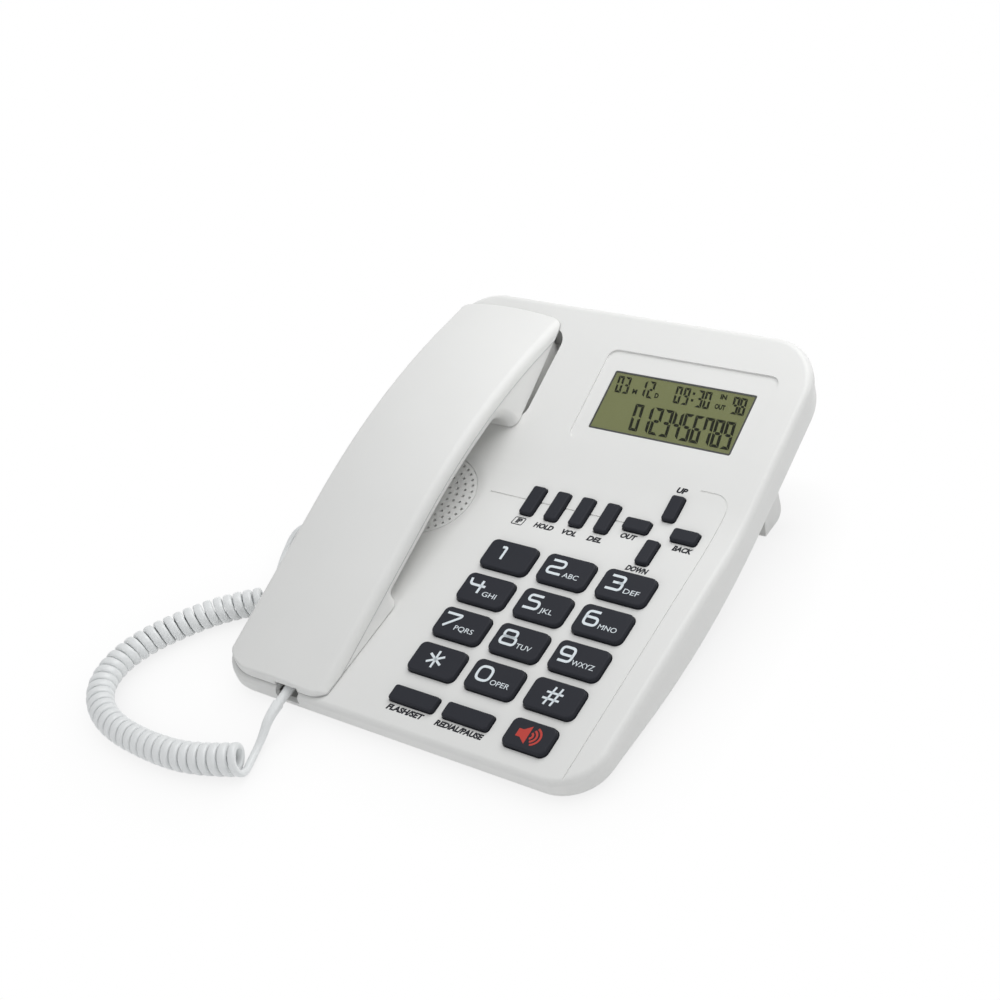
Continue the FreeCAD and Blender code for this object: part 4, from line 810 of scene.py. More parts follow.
class SegmentFigures:
    """Seven-bar figures of the display."""

    BARS: dict[str, str] = {"0": "abcdef", "1": "bc", "2": "abged", "3": "abgcd", "4": "fgbc", "5": "afgcd",
                            "6": "afgedc", "7": "abcf", "8": "abcdefg", "9": "abcdfg"}
    GAP: float = 0.1

    def draw(self, sheet: Sheet, digit: str, corner: Point, size: Point, width: float, place: Matrix) -> None:
        """Draw one figure, its bars mitred where they meet.

        Args:
            sheet: Sheet that takes it.
            digit: The figure.
            corner: Lower left end of its bars' middle lines in millimetres.
            size: Width and height between those lines.
            width: Width of a bar.
            place: Frame of the surface.
        """
        w, h = size
        half, thick = h / 2, width / 2
        ends = {"a": ((0, h), (w, h), (0, 1), thick, thick), "d": ((0, 0), (w, 0), (0, -1), thick, thick),
                "g": ((0, half), (w, half), (0, 1), -thick, -thick),
                "f": ((0, half), (0, h), (-1, 0), 0.0, thick), "e": ((0, 0), (0, half), (-1, 0), thick, 0.0),
                "b": ((w, half), (w, h), (1, 0), 0.0, thick), "c": ((w, 0), (w, half), (1, 0), thick, 0.0)}
        for bar in self.BARS[digit]:
            first, second, out, lead, tail = ends[bar]
            start, end = Vector(first) + Vector(corner), Vector(second) + Vector(corner)
            away, way = Vector(out) * thick, (end - start).normalized()
            outline = [start + away + way * (self.GAP - lead), start - away + way * (self.GAP + thick),
                       end - away - way * (self.GAP + thick), end + away - way * (self.GAP - tail)]
            if bar == "g":
                outline.insert(1, start + way * self.GAP)
                outline.insert(4, end - way * self.GAP)
            sheet.polygon([tuple(point) for point in outline], place)


@dataclass(frozen=True)
class Legend:
    """What one key carries: a figure and the letters beside it, their middle and their width."""

    figure: str
    letters: str = ""
    middle: float = 3.0
    width: float = 6.4


@dataclass
class KeyLegends:
    """White figures and letters on the keys, each riding on its key."""

    panel: PanelShape
    column: float = 4.2
    row: float = -32.15
    pitch: float = 25.0
    row_pitch: float = 16.03
    proud: float = 1.75
    figure_middle: Point = (-4.1, 0.6)
    figure_size: Point = (5.9, 5.6)
    stroke: float = 1.0
    letter_size: float = 2.9
    letter_level: float = -1.9
    marks: dict[str, tuple[Point, Point, float]] = field(default_factory=lambda: {
        "star": ((-0.6, 0.2), (7.2, 7.2), 0.9), "hash": ((-0.4, 0.0), (7.0, 7.4), 0.8)})
    speaker_cell: tuple[int, int] = (2, 4)
    horn: tuple[Point, ...] = (
        (-4.7, -1.5), (-2.9, -1.5), (-0.2, -3.5), (-0.2, 3.5), (-2.9, 1.5), (-4.7, 1.5))
    waves: tuple[float, ...] = (1.6, 3.1, 4.6)
    wave_start: float = -0.1
    wave_squash: float = 0.8
    wave_spread: float = 62.0
    wave_steps: int = 10
    wave_stroke: float = 0.75
    odd_figures: dict[str, Point] = field(default_factory=lambda: {
        "1": (2.2, 1.0), "6": (-0.2, 0.88), "7": (-0.3, 1.08), "9": (-0.9, 0.88), "0": (-0.2, 0.95)})
    legends: tuple[Legend, ...] = (
        Legend("1"), Legend("2", "ABC", 3.3, 6.4), Legend("3", "DEF", 3.5, 6.3),
        Legend("4", "GHI", 3.0, 6.0), Legend("5", "JKL", 3.0, 5.4), Legend("6", "MNO", 3.3, 7.3),
        Legend("7", "PQRS", 2.3, 8.2), Legend("8", "TUV", 3.3, 6.3), Legend("9", "WXYZ", 3.0, 9.0),
        Legend("star"), Legend("0", "OPER", 3.5, 7.9), Legend("hash"))

    def place(self, column: int, row: int) -> Matrix:
        """Frame of a key's top."""
        across, along = self.column + column * self.pitch, self.row - row * self.row_pitch
        return self.panel.keypad(across, along, self.proud)

    def draw(self, sheet: Sheet, legend: Legend, place: Matrix) -> None:
        """Figure and letters of one key."""
        shift, widen = self.odd_figures.get(legend.figure, (0.0, 1.0))
        usual = ((self.figure_middle[0] + shift, self.figure_middle[1]),
                 (self.figure_size[0] * widen, self.figure_size[1]), self.stroke)
        middle, size, stroke = self.marks.get(legend.figure, usual)
        KeyGlyphs().draw(sheet, legend.figure, middle, size, stroke, place)
        if legend.letters:
            spot = place @ Matrix.Translation((legend.middle * MM, self.letter_level * MM, 0))
            sheet.text(legend.letters, self.letter_size, spot, legend.width)

    def build(self, white: bpy.types.Material, red: bpy.types.Material) -> None:
        """Figures and letters of the twelve keys and the mark of the loudspeaker key."""
        for index, legend in enumerate(self.legends):
            sheet = Sheet()
            self.draw(sheet, legend, self.place(index % 3, index // 3))
            dress(sheet.piece("legend_" + legend.figure), "key_" + legend.figure, Slot.KEY, white)
        sheet = Sheet()
        place = self.place(*self.speaker_cell)
        sheet.polygon(self.horn, place)
        turns = [math.radians(self.wave_spread * (2 * step / self.wave_steps - 1))
                 for step in range(self.wave_steps + 1)]
        for reach in self.waves:
            arc = [(self.wave_start + reach * math.cos(turn), self.wave_squash * reach * math.sin(turn))
                   for turn in turns]
            sheet.ribbon(arc, self.wave_stroke, place)
        dress(sheet.piece("legend_speaker"), "key_speaker", Slot.KEY, red)


@dataclass(frozen=True)
class Word:
    """A word on the panel: its middle across and along the panel, and its width."""

    text: str
    across: float
    along: float
    width: float


@dataclass
class PanelPrint:
    """Small dark words printed on the panel beside its keys."""

    panel: PanelShape
    size: float = 2.9
    slant: float = 0.22
    weight: float = 0.15
    thick: float = 0.03
    above: float = 0.01
    framed: str = "IP"
    frame_points: tuple[Point, ...] = ((-2.4, -1.6), (2.1, -1.6), (2.7, 1.6), (-1.8, 1.6))
    frame_corner: float = 0.5
    frame_stroke: float = 0.35
    words: tuple[Word, ...] = (
        Word("HOLD", 8.4, -15.4, 8.4), Word("VOL", 19.5, -15.4, 6.2), Word("DEL", 30.6, -15.5, 6.2),
        Word("OUT", 42.3, -11.0, 6.6), Word("UP", 52.8, 11.6, 4.3), Word("BACK", 64.6, -11.1, 7.9),
        Word("DOWN", 53.1, -23.4, 9.0), Word("IP", -2.8, -15.5, 2.6), Word("FLASH/SET", 3.9, -101.7, 16.2),
        Word("REDIAL/PAUSE", 27.4, -101.7, 20.4))

    def build(self, ink: bpy.types.Material) -> None:
        """All the words as one piece on the base."""
        sheet = Sheet(self.thick)
        for word in self.words:
            place = self.panel.curved(word.across, word.along, self.above)
            sheet.text(word.text, self.size, place, word.width, self.slant, self.weight)
            if word.text == self.framed:
                box = rounded(self.frame_points, self.frame_corner, True)
                sheet.ribbon(box, self.frame_stroke, place, True)
        dress(sheet.piece("panel_print"), Body.BASE.value, Slot.SHELL, ink)


@dataclass
class DisplayFace:
    """Olive display in its window: a block with dark figures, a dark band round it (partly black mask, partly
    painted recess shade) and a clear cover.
    """

    panel: PanelShape
    middle: float = 33.75
    place_along: float = 41.7
    width: float = 60.5
    height: float = 25.1
    foot: float = -2.4
    face: float = -0.85
    cover: float = -0.7
    shift: Point = (1.3, -0.8)
    lean: float = -0.165
    figure_thick: float = 0.03
    # Dark band round the display's face: partly the display's black mask, partly painted shade where the
    # window's recess throws shadow.
    mask_and_shade_thick: float = 0.12
    mask_and_shade_width: float = 0.6
    cover_thick: float = 0.2
    cover_inset: float = 0.1
    big_row: str = "0123456789"
    big_start: Point = (16.3, 3.4)
    big_pitch: float = 4.31
    big_size: Point = (2.65, 10.0)
    big_bar: float = 1.2
    small_row: tuple[tuple[str, float], ...] = (
        ("0", 5.3), ("3", 8.4), ("1", 15.6), ("2", 19.2), ("0", 30.9), ("9", 34.3), ("3", 40.2), ("0", 43.3),
        ("9", 55.0), ("8", 57.9))
    small_level: float = 17.5
    small_size: Point = (1.8, 6.2)
    small_bar: float = 0.9
    dots: tuple[Point, ...] = ((37.6, 19.0), (37.6, 21.8))
    dot: float = 1.0
    signs: tuple[tuple[str, float, float, float], ...] = (
        ("M", 13.5, 18.6, 2.0), ("D", 23.1, 18.6, 1.7), ("IN", 50.4, 23.0, 2.6), ("OUT", 50.0, 18.8, 4.4))
    sign_size: float = 2.7
    sign_weight: float = 0.13

    def corners(self, inset: float) -> list[Point]:
        """Corners of the window about its middle, drawn in by a margin."""
        half_w, half_h = self.width / 2 - inset, self.height / 2 - inset
        return [(-half_w, -half_h), (half_w, -half_h), (half_w, half_h), (-half_w, half_h)]

    def spot(self, above: float) -> Matrix:
        """Frame of the window's middle at a height over the panel."""
        return self.panel.display(self.middle, self.place_along, above)

    def frame(self) -> Matrix:
        """Frame of the figures: the window's lower left corner, moved a little and leant."""
        corner = Vector((self.shift[0] - self.width / 2, self.shift[1] - self.height / 2, 0)) * MM
        lean = Matrix.Shear("XZ", 4, (self.lean, 0.0))
        return self.spot(self.face) @ Matrix.Translation(corner) @ lean

    def figures(self, sheet: Sheet, place: Matrix) -> None:
        """Top row with date and time, lower row with ten figures."""
        bars = SegmentFigures()
        for index, digit in enumerate(self.big_row):
            corner = (self.big_start[0] + index * self.big_pitch, self.big_start[1])
            bars.draw(sheet, digit, corner, self.big_size, self.big_bar, place)
        for digit, across in self.small_row:
            bars.draw(sheet, digit, (across, self.small_level), self.small_size, self.small_bar, place)
        for x, y in self.dots:
            far, top = x + self.dot, y + self.dot
            sheet.polygon([(x, y), (far, y), (far, top), (x, top)], place)
        for word, across, level, width in self.signs:
            spot = place @ Matrix.Translation((across * MM, level * MM, 0))
            sheet.text(word, self.sign_size, spot, width, weight=self.sign_weight)

    def build(self, palette: Palette) -> None:
        """Block, figures, dark band of mask and painted shade, and cover."""
        block = Sheet(self.face - self.foot)
        block.polygon(self.corners(0.0), self.spot(self.foot))
        figures = Sheet(self.figure_thick)
        self.figures(figures, self.frame())
        # Dark band round the face: black mask together with painted shade standing in for the shadow of the
        # window's recess.
        mask_and_shade = Sheet(self.mask_and_shade_thick)
        edge = rounded(self.corners(self.mask_and_shade_width / 2), self.mask_and_shade_width, True)
        mask_and_shade.ribbon(edge, self.mask_and_shade_width, self.spot(self.face), True)
        cover = Sheet(self.cover_thick)
        cover.polygon(self.corners(self.cover_inset), self.spot(self.cover))
        for sheet, name, slot, finish in (
                (block, "display_block", Slot.PANEL, Finish.PANEL),
                (figures, "display_figures", Slot.PANEL, Finish.SEGMENT),
                (mask_and_shade, "display_mask_and_shade", Slot.DARK, Finish.DARK),
                (cover, "display_cover", Slot.PANE, Finish.PANE)):
            dress(sheet.piece(name), Body.BASE.value, slot, palette[finish])


# What repeats, made with geometry nodes


class NodeBuilder:
    """Short way to add geometry nodes and join them."""

    def __init__(self, name: str, numbers: dict[str, float]) -> None:
        """Start a tree with a geometry input, named numbers, a material input and a geometry output.

        Args:
            name: Name of the tree.
            numbers: Names and starting values of the inputs.
        """
        self.tree = bpy.data.node_groups.new(name, "GeometryNodeTree")
        faces = self.tree.interface
        faces.new_socket("Geometry", in_out="INPUT", socket_type="NodeSocketGeometry")
        for label, value in numbers.items():
            faces.new_socket(label, in_out="INPUT", socket_type="NodeSocketFloat").default_value = value
        faces.new_socket("Finish", in_out="INPUT", socket_type="NodeSocketMaterial")
        faces.new_socket("Geometry", in_out="OUTPUT", socket_type="NodeSocketGeometry")
        self.entry = self.tree.nodes.new("NodeGroupInput")
        self.leave = self.tree.nodes.new("NodeGroupOutput")

    def value(self, label: str) -> bpy.types.NodeSocket:
        """Output of the tree's own input."""
        return self.entry.outputs[label]

    def add(self, kind: str, inputs: dict[str | int, object], **settings: object) -> bpy.types.NodeSocket:
        """Add a node.

        Args:
            kind: Type of the node.
            inputs: Sockets to link, or values to set, by name or number.
            settings: Properties of the node.

        Returns:
            Its first output.
        """
        node = self.tree.nodes.new(kind)
        for label, setting in settings.items():
            setattr(node, label, setting)
        for label, value in inputs.items():
            if isinstance(value, bpy.types.NodeSocket):
                self.tree.links.new(value, node.inputs[label])
            else:
                node.inputs[label].default_value = value
        return node.outputs[0]

    def math(self, operation: str, *values: object) -> bpy.types.NodeSocket:
        """Sum on numbers."""
        return self.add("ShaderNodeMath", dict(enumerate(values)), operation=operation)

    def xyz(self, x: object, y: object, z: object) -> bpy.types.NodeSocket:
        """Vector from three numbers."""
        return self.add("ShaderNodeCombineXYZ", {"X": x, "Y": y, "Z": z})

    def rod(self, radius: object, depth: object, sides: int) -> bpy.types.NodeSocket:
        """Round bar about its own middle."""
        sizes = {"Vertices": sides, "Radius": radius, "Depth": depth}
        return self.add("GeometryNodeMeshCylinder", sizes)

    def finish(self, geometry: bpy.types.NodeSocket) -> None:
        """Make instances real, set the material and close the tree."""
        real = self.add("GeometryNodeRealizeInstances", {"Geometry": geometry})
        painted = self.add("GeometryNodeSetMaterial", {"Geometry": real, "Material": self.value("Finish")})
        self.tree.links.new(painted, self.leave.inputs["Geometry"])

    def run(self, name: str, mesh: bpy.types.Mesh, sizes: dict[str, object]) -> bpy.types.Object:
        """Run the tree on a mesh and bake the result.

        Args:
            name: Name of the piece.
            mesh: Mesh that goes in.
            sizes: Values of the tree's inputs by name.

        Returns:
            The baked piece, without the modifier.
        """
        piece = link(name, mesh)
        modifier = piece.modifiers.new("repeat", "NODES")
        modifier.node_group = self.tree
        for item in self.tree.interface.items_tree:
            if item.in_out == "INPUT" and item.name in sizes:
                modifier[item.identifier] = sizes[item.name]
        piece.data = baked(piece)
        piece.modifiers.clear()
        bpy.data.meshes.remove(mesh)
        return piece


@dataclass
class Grille:
    """Loudspeaker grille: a disc drilled in rings, let into a soft dish in the panel, over dark gauze."""

    panel: PanelShape
    column: float = -45.46
    row: float = -13.35
    radius: float = 18.45
    thick: float = 1.1
    sunk: float = 0.4
    hole: float = 1.2
    first_ring: float = 1.5
    ring_step: float = 3.03
    rings: int = 6
    hole_step: float = 2.9
    seat_radius: float = 24.0
    seat_depth: float = 1.9
    seat_top: float = 4.0
    gauze: Point = (-0.25, -0.05)
    hole_sides: int = 16
    disc_sides: int = 128
    drill_share: float = 3.0
    slice_step: float = 1.6
    dish: tuple[Point, ...] = (
        (18.6, -1.8), (23.9, -1.8), (23.9, -0.06), (24.8, -0.03), (24.8, -0.02), (23.8, 0.012), (22.6, 0.012),
        (21.4, -0.05), (20.2, -0.2), (19.2, -0.35), (18.6, -0.42))
    dish_steps: int = 144

    def tree(self) -> NodeBuilder:
        """Disc with rings of holes, the holes placed by instances."""
        names = ("Radius", "Thickness", "Hole", "First Ring", "Ring Step")
        build = NodeBuilder("ring_drilled_disc", {name: 0.001 for name in names})
        spots = build.tree.nodes.new("GeometryNodeJoinGeometry")
        for ring in range(self.rings):
            reach = build.math("MULTIPLY", build.value("Ring Step"), float(ring))
            reach = build.math("ADD", build.value("First Ring"), reach)
            count = int(2 * math.pi * (self.first_ring + ring * self.ring_step) / self.hole_step)
            circle = build.add("GeometryNodeMeshCircle", {"Vertices": count, "Radius": reach})
            build.tree.links.new(circle, spots.inputs[0])
        tall = build.math("MULTIPLY", build.value("Thickness"), self.drill_share)
        drill = build.rod(build.math("MULTIPLY", build.value("Hole"), 0.5), tall, self.hole_sides)
        drills = build.add("GeometryNodeInstanceOnPoints", {"Points": spots.outputs[0], "Instance": drill})
        drills = build.add("GeometryNodeRealizeInstances", {"Geometry": drills})
        disc = build.rod(build.value("Radius"), build.value("Thickness"), self.disc_sides)
        inputs = {"Mesh 1": disc, "Mesh 2": drills}
        build.finish(build.add("GeometryNodeMeshBoolean", inputs, operation="DIFFERENCE"))
        return build

    def bend(self, mesh: bpy.types.Mesh, lift: float) -> None:
        """Lay a flat mesh along the panel, sliced where the panel curves.

        Args:
            mesh: Mesh about the grille's middle.
            lift: Height of its own middle over the panel in millimetres.
        """
        work = bmesh.new()
        work.from_mesh(mesh)
        bmesh.ops.triangulate(work, faces=work.faces)
        for step in range(int(self.seat_radius / self.slice_step) + 1):
            place = (0, step * self.slice_step * MM, 0)
            everything = work.verts[:] + work.edges[:] + work.faces[:]
            bmesh.ops.bisect_plane(work, geom=everything, plane_co=place, plane_no=(0, 1, 0), dist=1e-8)
        for vertex in work.verts:
            x, y, z = vertex.co / MM
            vertex.co = self.panel.curved(self.column + x, self.row + y, z + lift).translation
        work.to_mesh(mesh)
        work.free()

    def disc(self, name: str, radius: float, low: float, high: float) -> bpy.types.Object:
        """Plain disc laid along the panel.

        Args:
            name: Name of the piece.
            radius: Its radius in millimetres.
            low: Height of its underside over the panel.
            high: Height of its top.

        Returns:
            The disc.
        """
        work = bmesh.new()
        bmesh.ops.create_cone(work, cap_ends=True, segments=self.dish_steps, radius1=radius * MM,
                              radius2=radius * MM, depth=(high - low) * MM)
        mesh = bpy.data.meshes.new(name)
        work.to_mesh(mesh)
        work.free()
        self.bend(mesh, (low + high) / 2)
        return link(name, mesh)

    def seat(self) -> bpy.types.Object:
        """Shape of the seat that the casing needs for the grille."""
        return self.disc("grille_seat", self.seat_radius, -self.seat_depth, self.seat_top)

    def surround(self) -> bpy.types.Object:
        """Soft dish round the disc, its outer edge running out into the panel."""
        points: list[Triple] = []
        faces: list[tuple[int, ...]] = []
        count = len(self.dish)
        for step in range(self.dish_steps):
            turn = 2 * math.pi * step / self.dish_steps
            for reach, height in self.dish:
                across, along = self.column + reach * math.cos(turn), self.row + reach * math.sin(turn)
                points.append(tuple(self.panel.curved(across, along, height).translation))
            for index in range(count):
                here, there = step * count, (step + 1) % self.dish_steps * count
                beside = (index + 1) % count
                faces.append((here + index, there + index, there + beside, here + beside))
        mesh = bpy.data.meshes.new("grille_dish")
        mesh.from_pydata(points, [], faces)
        shade(mesh, PLAIN_CREASE)
        return link("grille_dish", mesh)

    def build(self, palette: Palette) -> None:
        """Gauze, dish and drilled disc in their seat in the panel."""
        shell = palette[Finish.SHELL]
        sizes = {"Radius": self.radius * MM, "Thickness": self.thick * MM, "Hole": self.hole * MM,
                 "First Ring": self.first_ring * MM, "Ring Step": self.ring_step * MM, "Finish": shell}
        piece = self.tree().run("drilled_grille", bpy.data.meshes.new("start"), sizes)
        self.bend(piece.data, -self.sunk - self.thick / 2)
        shade(piece.data, PLAIN_CREASE)
        dress(piece, Body.BASE.value, Slot.SHELL, shell, "speaker_grille")
        low = -self.sunk - self.thick
        gauze = self.disc("grille_gauze", self.radius, *(low + level for level in self.gauze))
        dress(gauze, Body.BASE.value, Slot.DARK, palette[Finish.DARK])
        dress(self.surround(), Body.BASE.value, Slot.SHELL, shell)


@dataclass(frozen=True)
class ScrewSpot:
    """One screw: the middle of its head's outer face, its lean and its length."""

    place: Triple
    lean: float
    length: float


@dataclass
class CrossScrews:
    """Screws with a cross recess, standing up into the casing from below."""

    head_radius: float = 2.7
    head_thick: float = 1.2
    shank_radius: float = 1.3
    shank_share: float = 0.915
    recess: float = 0.6
    cross_long: float = 1.3
    cross_narrow: float = 0.3
    head_sides: int = 32
    shank_sides: int = 24
    base: tuple[ScrewSpot, ...] = (
        ScrewSpot((76.3, -46.0, 0.8), 0.0, 7.5), ScrewSpot((-76.3, -46.0, 0.8), 0.0, 7.5),
        ScrewSpot((76.3, 34.068, 16.864), 19.8, 7.5), ScrewSpot((-76.3, 34.068, 16.864), 19.8, 7.5))
    handset: tuple[ScrewSpot, ...] = (
        ScrewSpot((-71.0, 48.348, 28.833), 19.8, 13.5), ScrewSpot((-39.0, -58.346, 9.434), 8.0, 8.5))

    def tree(self) -> NodeBuilder:
        """Head with a cross cut into it, and a shank of the length that each point states."""
        names = ("Head Radius", "Head Thickness", "Shank Radius", "Recess")
        build = NodeBuilder("cross_screws", {name: 0.001 for name in names})
        thick, wide = build.value("Head Thickness"), build.value("Head Radius")
        head = build.rod(wide, thick, self.head_sides)
        long = build.math("MULTIPLY", wide, self.cross_long)
        narrow = build.math("MULTIPLY", wide, self.cross_narrow)
        deep = build.math("MULTIPLY", build.value("Recess"), 2.0)
        low = build.xyz(0.0, 0.0, build.math("MULTIPLY", thick, -0.5))
        for size in (build.xyz(long, narrow, deep), build.xyz(narrow, long, deep)):
            bar = build.add("GeometryNodeMeshCube", {"Size": size})
            bar = build.add("GeometryNodeTransform", {"Geometry": bar, "Translation": low})
            cut = {"Mesh 1": head, "Mesh 2": bar}
            head = build.add("GeometryNodeMeshBoolean", cut, operation="DIFFERENCE")
        up = build.xyz(0.0, 0.0, build.math("MULTIPLY", thick, 0.5))
        head = build.add("GeometryNodeTransform", {"Geometry": head, "Translation": up})
        lean = build.add("GeometryNodeInputNamedAttribute", {"Name": "lean"}, data_type="FLOAT")
        turn = build.xyz(lean, 0.0, 0.0)
        start = build.value("Geometry")
        heads = build.add("GeometryNodeInstanceOnPoints", {
            "Points": start, "Instance": head, "Rotation": turn})
        shank = build.rod(build.value("Shank Radius"), self.shank_share, self.shank_sides)
        middle = (0.0, 0.0, 1 - self.shank_share / 2)
        shank = build.add("GeometryNodeTransform", {"Geometry": shank, "Translation": middle})
        length = build.add("GeometryNodeInputNamedAttribute", {"Name": "length"}, data_type="FLOAT")
        shanks = build.add("GeometryNodeInstanceOnPoints", {
            "Points": start, "Instance": shank, "Rotation": turn, "Scale": build.xyz(1.0, 1.0, length)})
        both = build.tree.nodes.new("GeometryNodeJoinGeometry")
        build.tree.links.new(heads, both.inputs[0])
        build.tree.links.new(shanks, both.inputs[0])
        build.finish(both.outputs[0])
        return build

    def points(self, spots: Sequence[ScrewSpot]) -> bpy.types.Mesh:
        """Mesh with a point for each screw and its lean and length."""
        mesh = bpy.data.meshes.new("screw_spots")
        mesh.from_pydata([tuple(value * MM for value in spot.place) for spot in spots], [], [])
        lean = mesh.attributes.new("lean", "FLOAT", "POINT")
        lean.data.foreach_set("value", [math.radians(spot.lean) for spot in spots])
        length = mesh.attributes.new("length", "FLOAT", "POINT")
        length.data.foreach_set("value", [spot.length * MM for spot in spots])
        return mesh

    def build(self, palette: Palette) -> None:
        """Four screws of the base and two of the handset."""
        tree = self.tree()
        sizes = {"Head Radius": self.head_radius * MM, "Head Thickness": self.head_thick * MM,
                 "Shank Radius": self.shank_radius * MM, "Recess": self.recess * MM,
                 "Finish": palette[Finish.STEEL]}
        for name, body, spots, node in (("casing_screws", Body.BASE, self.base, "base_screws"),
                                        ("cap_screws", Body.HANDSET, self.handset, "handset_screws")):
            piece = tree.run(name, self.points(spots), sizes)
            for label in ("lean", "length"):
                if label in piece.data.attributes:
                    piece.data.attributes.remove(piece.data.attributes[label])
            shade(piece.data, PLAIN_CREASE)
            dress(piece, body.value, Slot.STEEL, palette[Finish.STEEL], node)


# Casing


@dataclass(frozen=True)
class Fitted:
    """A solid shown as a smooth copy of itself."""

    node: str
    name: str
    body: str
    slot: Slot


class Casing:
    """Shells, keys, stand, feet, plugs and pane, each a smooth copy of its solid."""

    PIECES: tuple[Fitted, ...] = (
        Fitted("base_top_shell", "casing_top", Body.BASE.value, Slot.SHELL),
        Fitted("base_bottom_shell", "casing_bottom", Body.BASE.value, Slot.SHELL),
        Fitted("handset_back_shell", "handset_back", Body.HANDSET.value, Slot.SHELL),
        Fitted("handset_front_shell", "handset_caps", Body.HANDSET.value, Slot.SHELL),
        Fitted("hook_plunger", "hook_button", Body.HOOK.value, Slot.SHELL),
        Fitted("rear_stand", "tilt_stand", Body.STAND.value, Slot.SHELL),
        Fitted("stand_pads", "stand_soles", Body.STAND.value, Slot.RUBBER),
        Fitted("rubber_feet", "table_feet", Body.BASE.value, Slot.RUBBER),
        Fitted("line_jack", "line_socket", Body.BASE.value, Slot.DARK),
        Fitted("plug_base", "base_boot", Body.BASE.value, Slot.CORD),
        Fitted("plug_handset", "handset_boot", Body.HANDSET.value, Slot.CORD),
        Fitted("lcd_window", "display_glass", Body.BASE.value, Slot.PANE),
    )
    KEYS: tuple[str, ...] = (
        "1", "2", "3", "4", "5", "6", "7", "8", "9", "star", "0", "hash", "speaker", "flash", "redial",
        "ip", "hold", "volume", "delete", "out", "back", "up", "down")

    def pieces(self) -> Iterable[Fitted]:
        """All fitted copies, the keys included."""
        yield from self.PIECES
        for name in self.KEYS:
            yield Fitted("key_" + name, "cap_" + name, "key_" + name, Slot.KEY)

    def build(self, palette: Palette, cutters: dict[str, bpy.types.Object]) -> None:
        """Make the copies, then give every solid the material of its slot.

        Args:
            palette: Materials.
            cutters: Shapes to cut out of the copies of some solids.
        """
        for item in self.pieces():
            piece = fitted_copy(item.node, item.name, cutters.get(item.node))
            dress(piece, item.body, item.slot, palette.of_slot(item.slot), item.node)
        slots = {part["node"]: Slot(part["material_slot"]) for part in frame["record"]["subparts"]}
        for node, solid in frame["nodes"].items():
            coat(solid, palette.of_slot(slots[node]))
        log.info("%d solids have materials", len(slots))


@dataclass
class SeamLine:
    """Fine line where the two shells of the handset meet, along the lower edge of its back."""

    radius: float = 0.2
    sides: int = 8
    downwards: float = -0.8
    middle: float = -54.0
    ends: Point = (-62.0, 52.0)
    crease: float = 50.0
    slot: Triple = (-52.0, -40.0, -60.0)
    front: float = -90.4

    def rim(self, work: bmesh.types.BMesh) -> dict[int, list[int]]:
        """Edges between a face that looks outwards and one that looks down, as neighbours of each point."""
        near: dict[int, list[int]] = {}
        for edge in work.edges:
            if edge.calc_face_angle(0.0) < math.radians(self.crease):
                continue
            low, side = sorted(edge.link_faces, key=lambda face: face.normal.z)
            spot = (edge.verts[0].co + edge.verts[1].co) / 2
            along = min(max(spot.y, self.ends[0] * MM), self.ends[1] * MM)
            outwards = spot - Vector((self.middle * MM, along, spot.z))
            if low.normal.z < self.downwards and side.normal.dot(outwards) > 0:
                first, second = (vertex.index for vertex in edge.verts)
                near.setdefault(first, []).append(second)
                near.setdefault(second, []).append(first)
        return near

    def line(self, mesh: bpy.types.Mesh) -> list[Vector]:
        """Longest run of the rim, without the slot for the plug.

        Args:
            mesh: Mesh of the handset's back.

        Returns:
            Points of the line.
        """
        work = bmesh.new()
        work.from_mesh(mesh)
        near = self.rim(work)
        spots = [vertex.co.copy() for vertex in work.verts]
        work.free()
        seen: set[int] = set()
        runs: list[list[Vector]] = []
        for start in sorted(near, key=lambda index: (len(near[index]) != 1, index)):
            here: int | None = start if start not in seen else None
            run: list[Vector] = []
            while here is not None:
                seen.add(here)
                run.append(spots[here])
                here = next((index for index in near[here] if index not in seen), None)
            runs.append(run)
        left, right, deep = (value * MM for value in self.slot)
        longest = max(runs, key=len)
        return [spot for spot in longest
                if not (left < spot.x < right and self.front * MM < spot.y < deep)]

    def build(self, finish: bpy.types.Material) -> None:
        """Line round the handset."""
        path = self.line(bpy.data.objects["handset_back"].data)
        sizes = [(self.radius * MM, self.radius * MM)] * len(path)
        piece = link("handset_seam", sweep(path, carried(path, Vector((0, 0, 1))), sizes, self.sides))
        dress(piece, Body.HANDSET.value, Slot.SHELL, finish)


# Curly cord


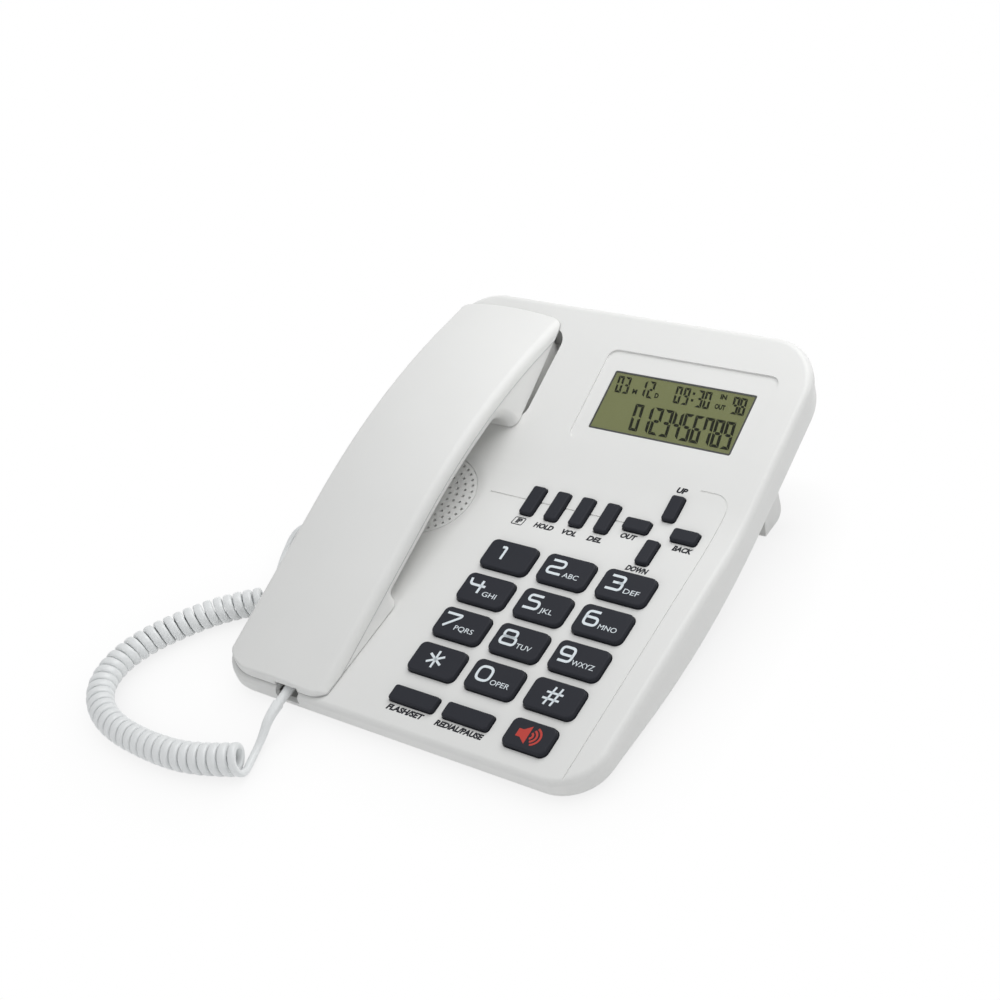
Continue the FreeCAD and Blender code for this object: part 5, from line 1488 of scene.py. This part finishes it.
@dataclass
class CurlyCord:
    """One unbroken flat cord: a straight lead, the coil on the table and a lead into the base."""

    lead: float = 2.5
    wide: float = 3.35
    thick: float = 2.4
    blunt: float = 0.7
    flare: float = 3.7
    flare_length: float = 17.0
    radius: float = 4.05
    end_radius: float = 4.85
    end_turns: float = 12.0
    turns: int = 41
    lead_in: tuple[Triple, ...] = (
        (-46.0, -96.25, 8.3), (-46.0, -102.2, 7.4), (-46.0, -108.0, 3.2), (-45.0, -114.6, 1.4))
    middle: tuple[Point, ...] = (
        (-43, -121), (-60, -128), (-84, -129.2), (-107, -126.5), (-122, -118), (-128, -105), (-125.5, -90),
        (-116, -75), (-104, -61.5), (-91.5, -53.5))
    lead_out: tuple[Triple, ...] = (
        (-96.3, -42.7, 1.4), (-104.0, -31.0, 2.0), (-102.5, -15.0, 11.0), (-86.8, -15.0, 11.0))
    sides: int = 16
    steps: int = 28
    smooth: int = 40
    table_gap: float = 0.1
    blend_start: Triple = (-99.2, -70.8, 8.3)
    blend_end: Triple = (-46.0, -96.25, 8.3)

    def spline(self, points: Sequence[Sequence[float]]) -> list[Vector]:
        """Smooth line with the given points as its control points.

        Args:
            points: Control points in millimetres.

        Returns:
            Points along it, in metres.
        """
        curve = bpy.data.curves.new("cord_line", "CURVE")
        curve.dimensions = "3D"
        curve.resolution_u = self.smooth
        line = curve.splines.new("NURBS")
        line.points.add(len(points) - 1)
        for knot, point in zip(line.points, points):
            knot.co = (*(value * MM for value in point), 1.0)
        line.order_u = 3
        line.use_endpoint_u = True
        item = enter("cord_line", curve)
        mesh = baked(item)
        found = [vertex.co.copy() for vertex in mesh.vertices]
        bpy.data.objects.remove(item)
        bpy.data.curves.remove(curve)
        bpy.data.meshes.remove(mesh)
        return found

    def wound(self) -> tuple[list[Vector], list[Vector]]:
        """Line of the coil, resting on the table, and the way out from its middle at each point."""
        low = max(self.thick, self.lead) / 2 + self.table_gap
        axis = self.spline([(x, y, low) for x, y in self.middle])
        lengths = [0.0]
        for first, second in zip(axis, axis[1:]):
            lengths.append(lengths[-1] + (second - first).length)
        total, count = lengths[-1], self.turns * self.steps
        line: list[Vector] = []
        outwards: list[Vector] = []
        index = 0
        for step in range(count + 1):
            reach = total * step / count
            while index < len(lengths) - 2 and lengths[index + 1] < reach:
                index += 1
            span = max(lengths[index + 1] - lengths[index], 1e-9)
            spot = axis[index].lerp(axis[index + 1], (reach - lengths[index]) / span)
            heading = (axis[index + 1] - axis[index]).normalized()
            side = Vector((-heading.y, heading.x, 0.0))
            turn = 2 * math.pi * step / self.steps - math.pi / 2
            near_end = max(1 - step / self.steps / self.end_turns, 0.0)
            size = (self.radius + (self.end_radius - self.radius) * near_end) * MM
            way = side * math.cos(turn) + Vector((0, 0, math.sin(turn)))
            line.append(spot + Vector((0, 0, size)) + way * size)
            outwards.append(way)
        return line, outwards

    def route(self) -> tuple[list[Vector], list[Vector], list[Point]]:
        """Line of the whole cord, with the direction and the half axes of its section at each point."""
        line, outwards = self.wound()
        lead_in = self.spline(list(self.lead_in) + [tuple(line[0] / MM)])[:-1]
        lead_out = self.spline([tuple(line[-1] / MM)] + list(self.lead_out))[1:]
        before = list(reversed(carried(list(reversed(lead_in)), outwards[0])))
        after = carried(lead_out, outwards[-1])
        sizes: list[Point] = []
        reach = 0.0
        for index, spot in enumerate(lead_in):
            reach += (spot - lead_in[max(index - 1, 0)]).length / MM
            width = self.lead + (self.flare - self.lead) * max(1 - reach / self.flare_length, 0.0)
            sizes.append((width / 2 * MM,) * 2)
        for step in range(len(line)):
            flat = min(step, len(line) - 1 - step, self.steps) / self.steps
            pair = (self.lead + (self.thick - self.lead) * flat, self.lead + (self.wide - self.lead) * flat)
            sizes.append((pair[0] / 2 * MM, pair[1] / 2 * MM))
        sizes += [(self.lead / 2 * MM,) * 2] * len(lead_out)
        return lead_in + line + lead_out, before + outwards + after, sizes

    def build(self, finish: bpy.types.Material) -> None:
        """Cord as one piece from plug to plug."""
        path, levels, sizes = self.route()
        piece = link("curly_cord", sweep(path, levels, sizes, self.sides, self.blunt))
        coat(piece, finish)
        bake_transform(piece)
        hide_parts("cord_lead_handset", "cord_coil", "cord_lead_base")


class Telephone:
    """The whole telephone, built one sub-assembly after another."""

    def __init__(self) -> None:
        """Choose the shape of the panel and make the materials."""
        self.panel = PanelShape()
        self.palette = Palette()

    def build(self) -> None:
        """Every piece of the telephone."""
        grille = Grille(self.panel)
        Casing().build(self.palette, {"base_top_shell": grille.seat()})
        grille.build(self.palette)
        SeamLine().build(self.palette[Finish.SEAM])
        CrossScrews().build(self.palette)
        KeyLegends(self.panel).build(self.palette[Finish.LEGEND], self.palette[Finish.RED])
        PanelPrint(self.panel).build(self.palette[Finish.INK])
        DisplayFace(self.panel).build(self.palette)
        CurlyCord().build(self.palette[Finish.CORD])


def main() -> None:
    """Build the telephone and its stage."""
    logging.basicConfig(level=logging.INFO)
    Telephone().build()
    Studio().build()


if __name__ == "__main__":
    main()
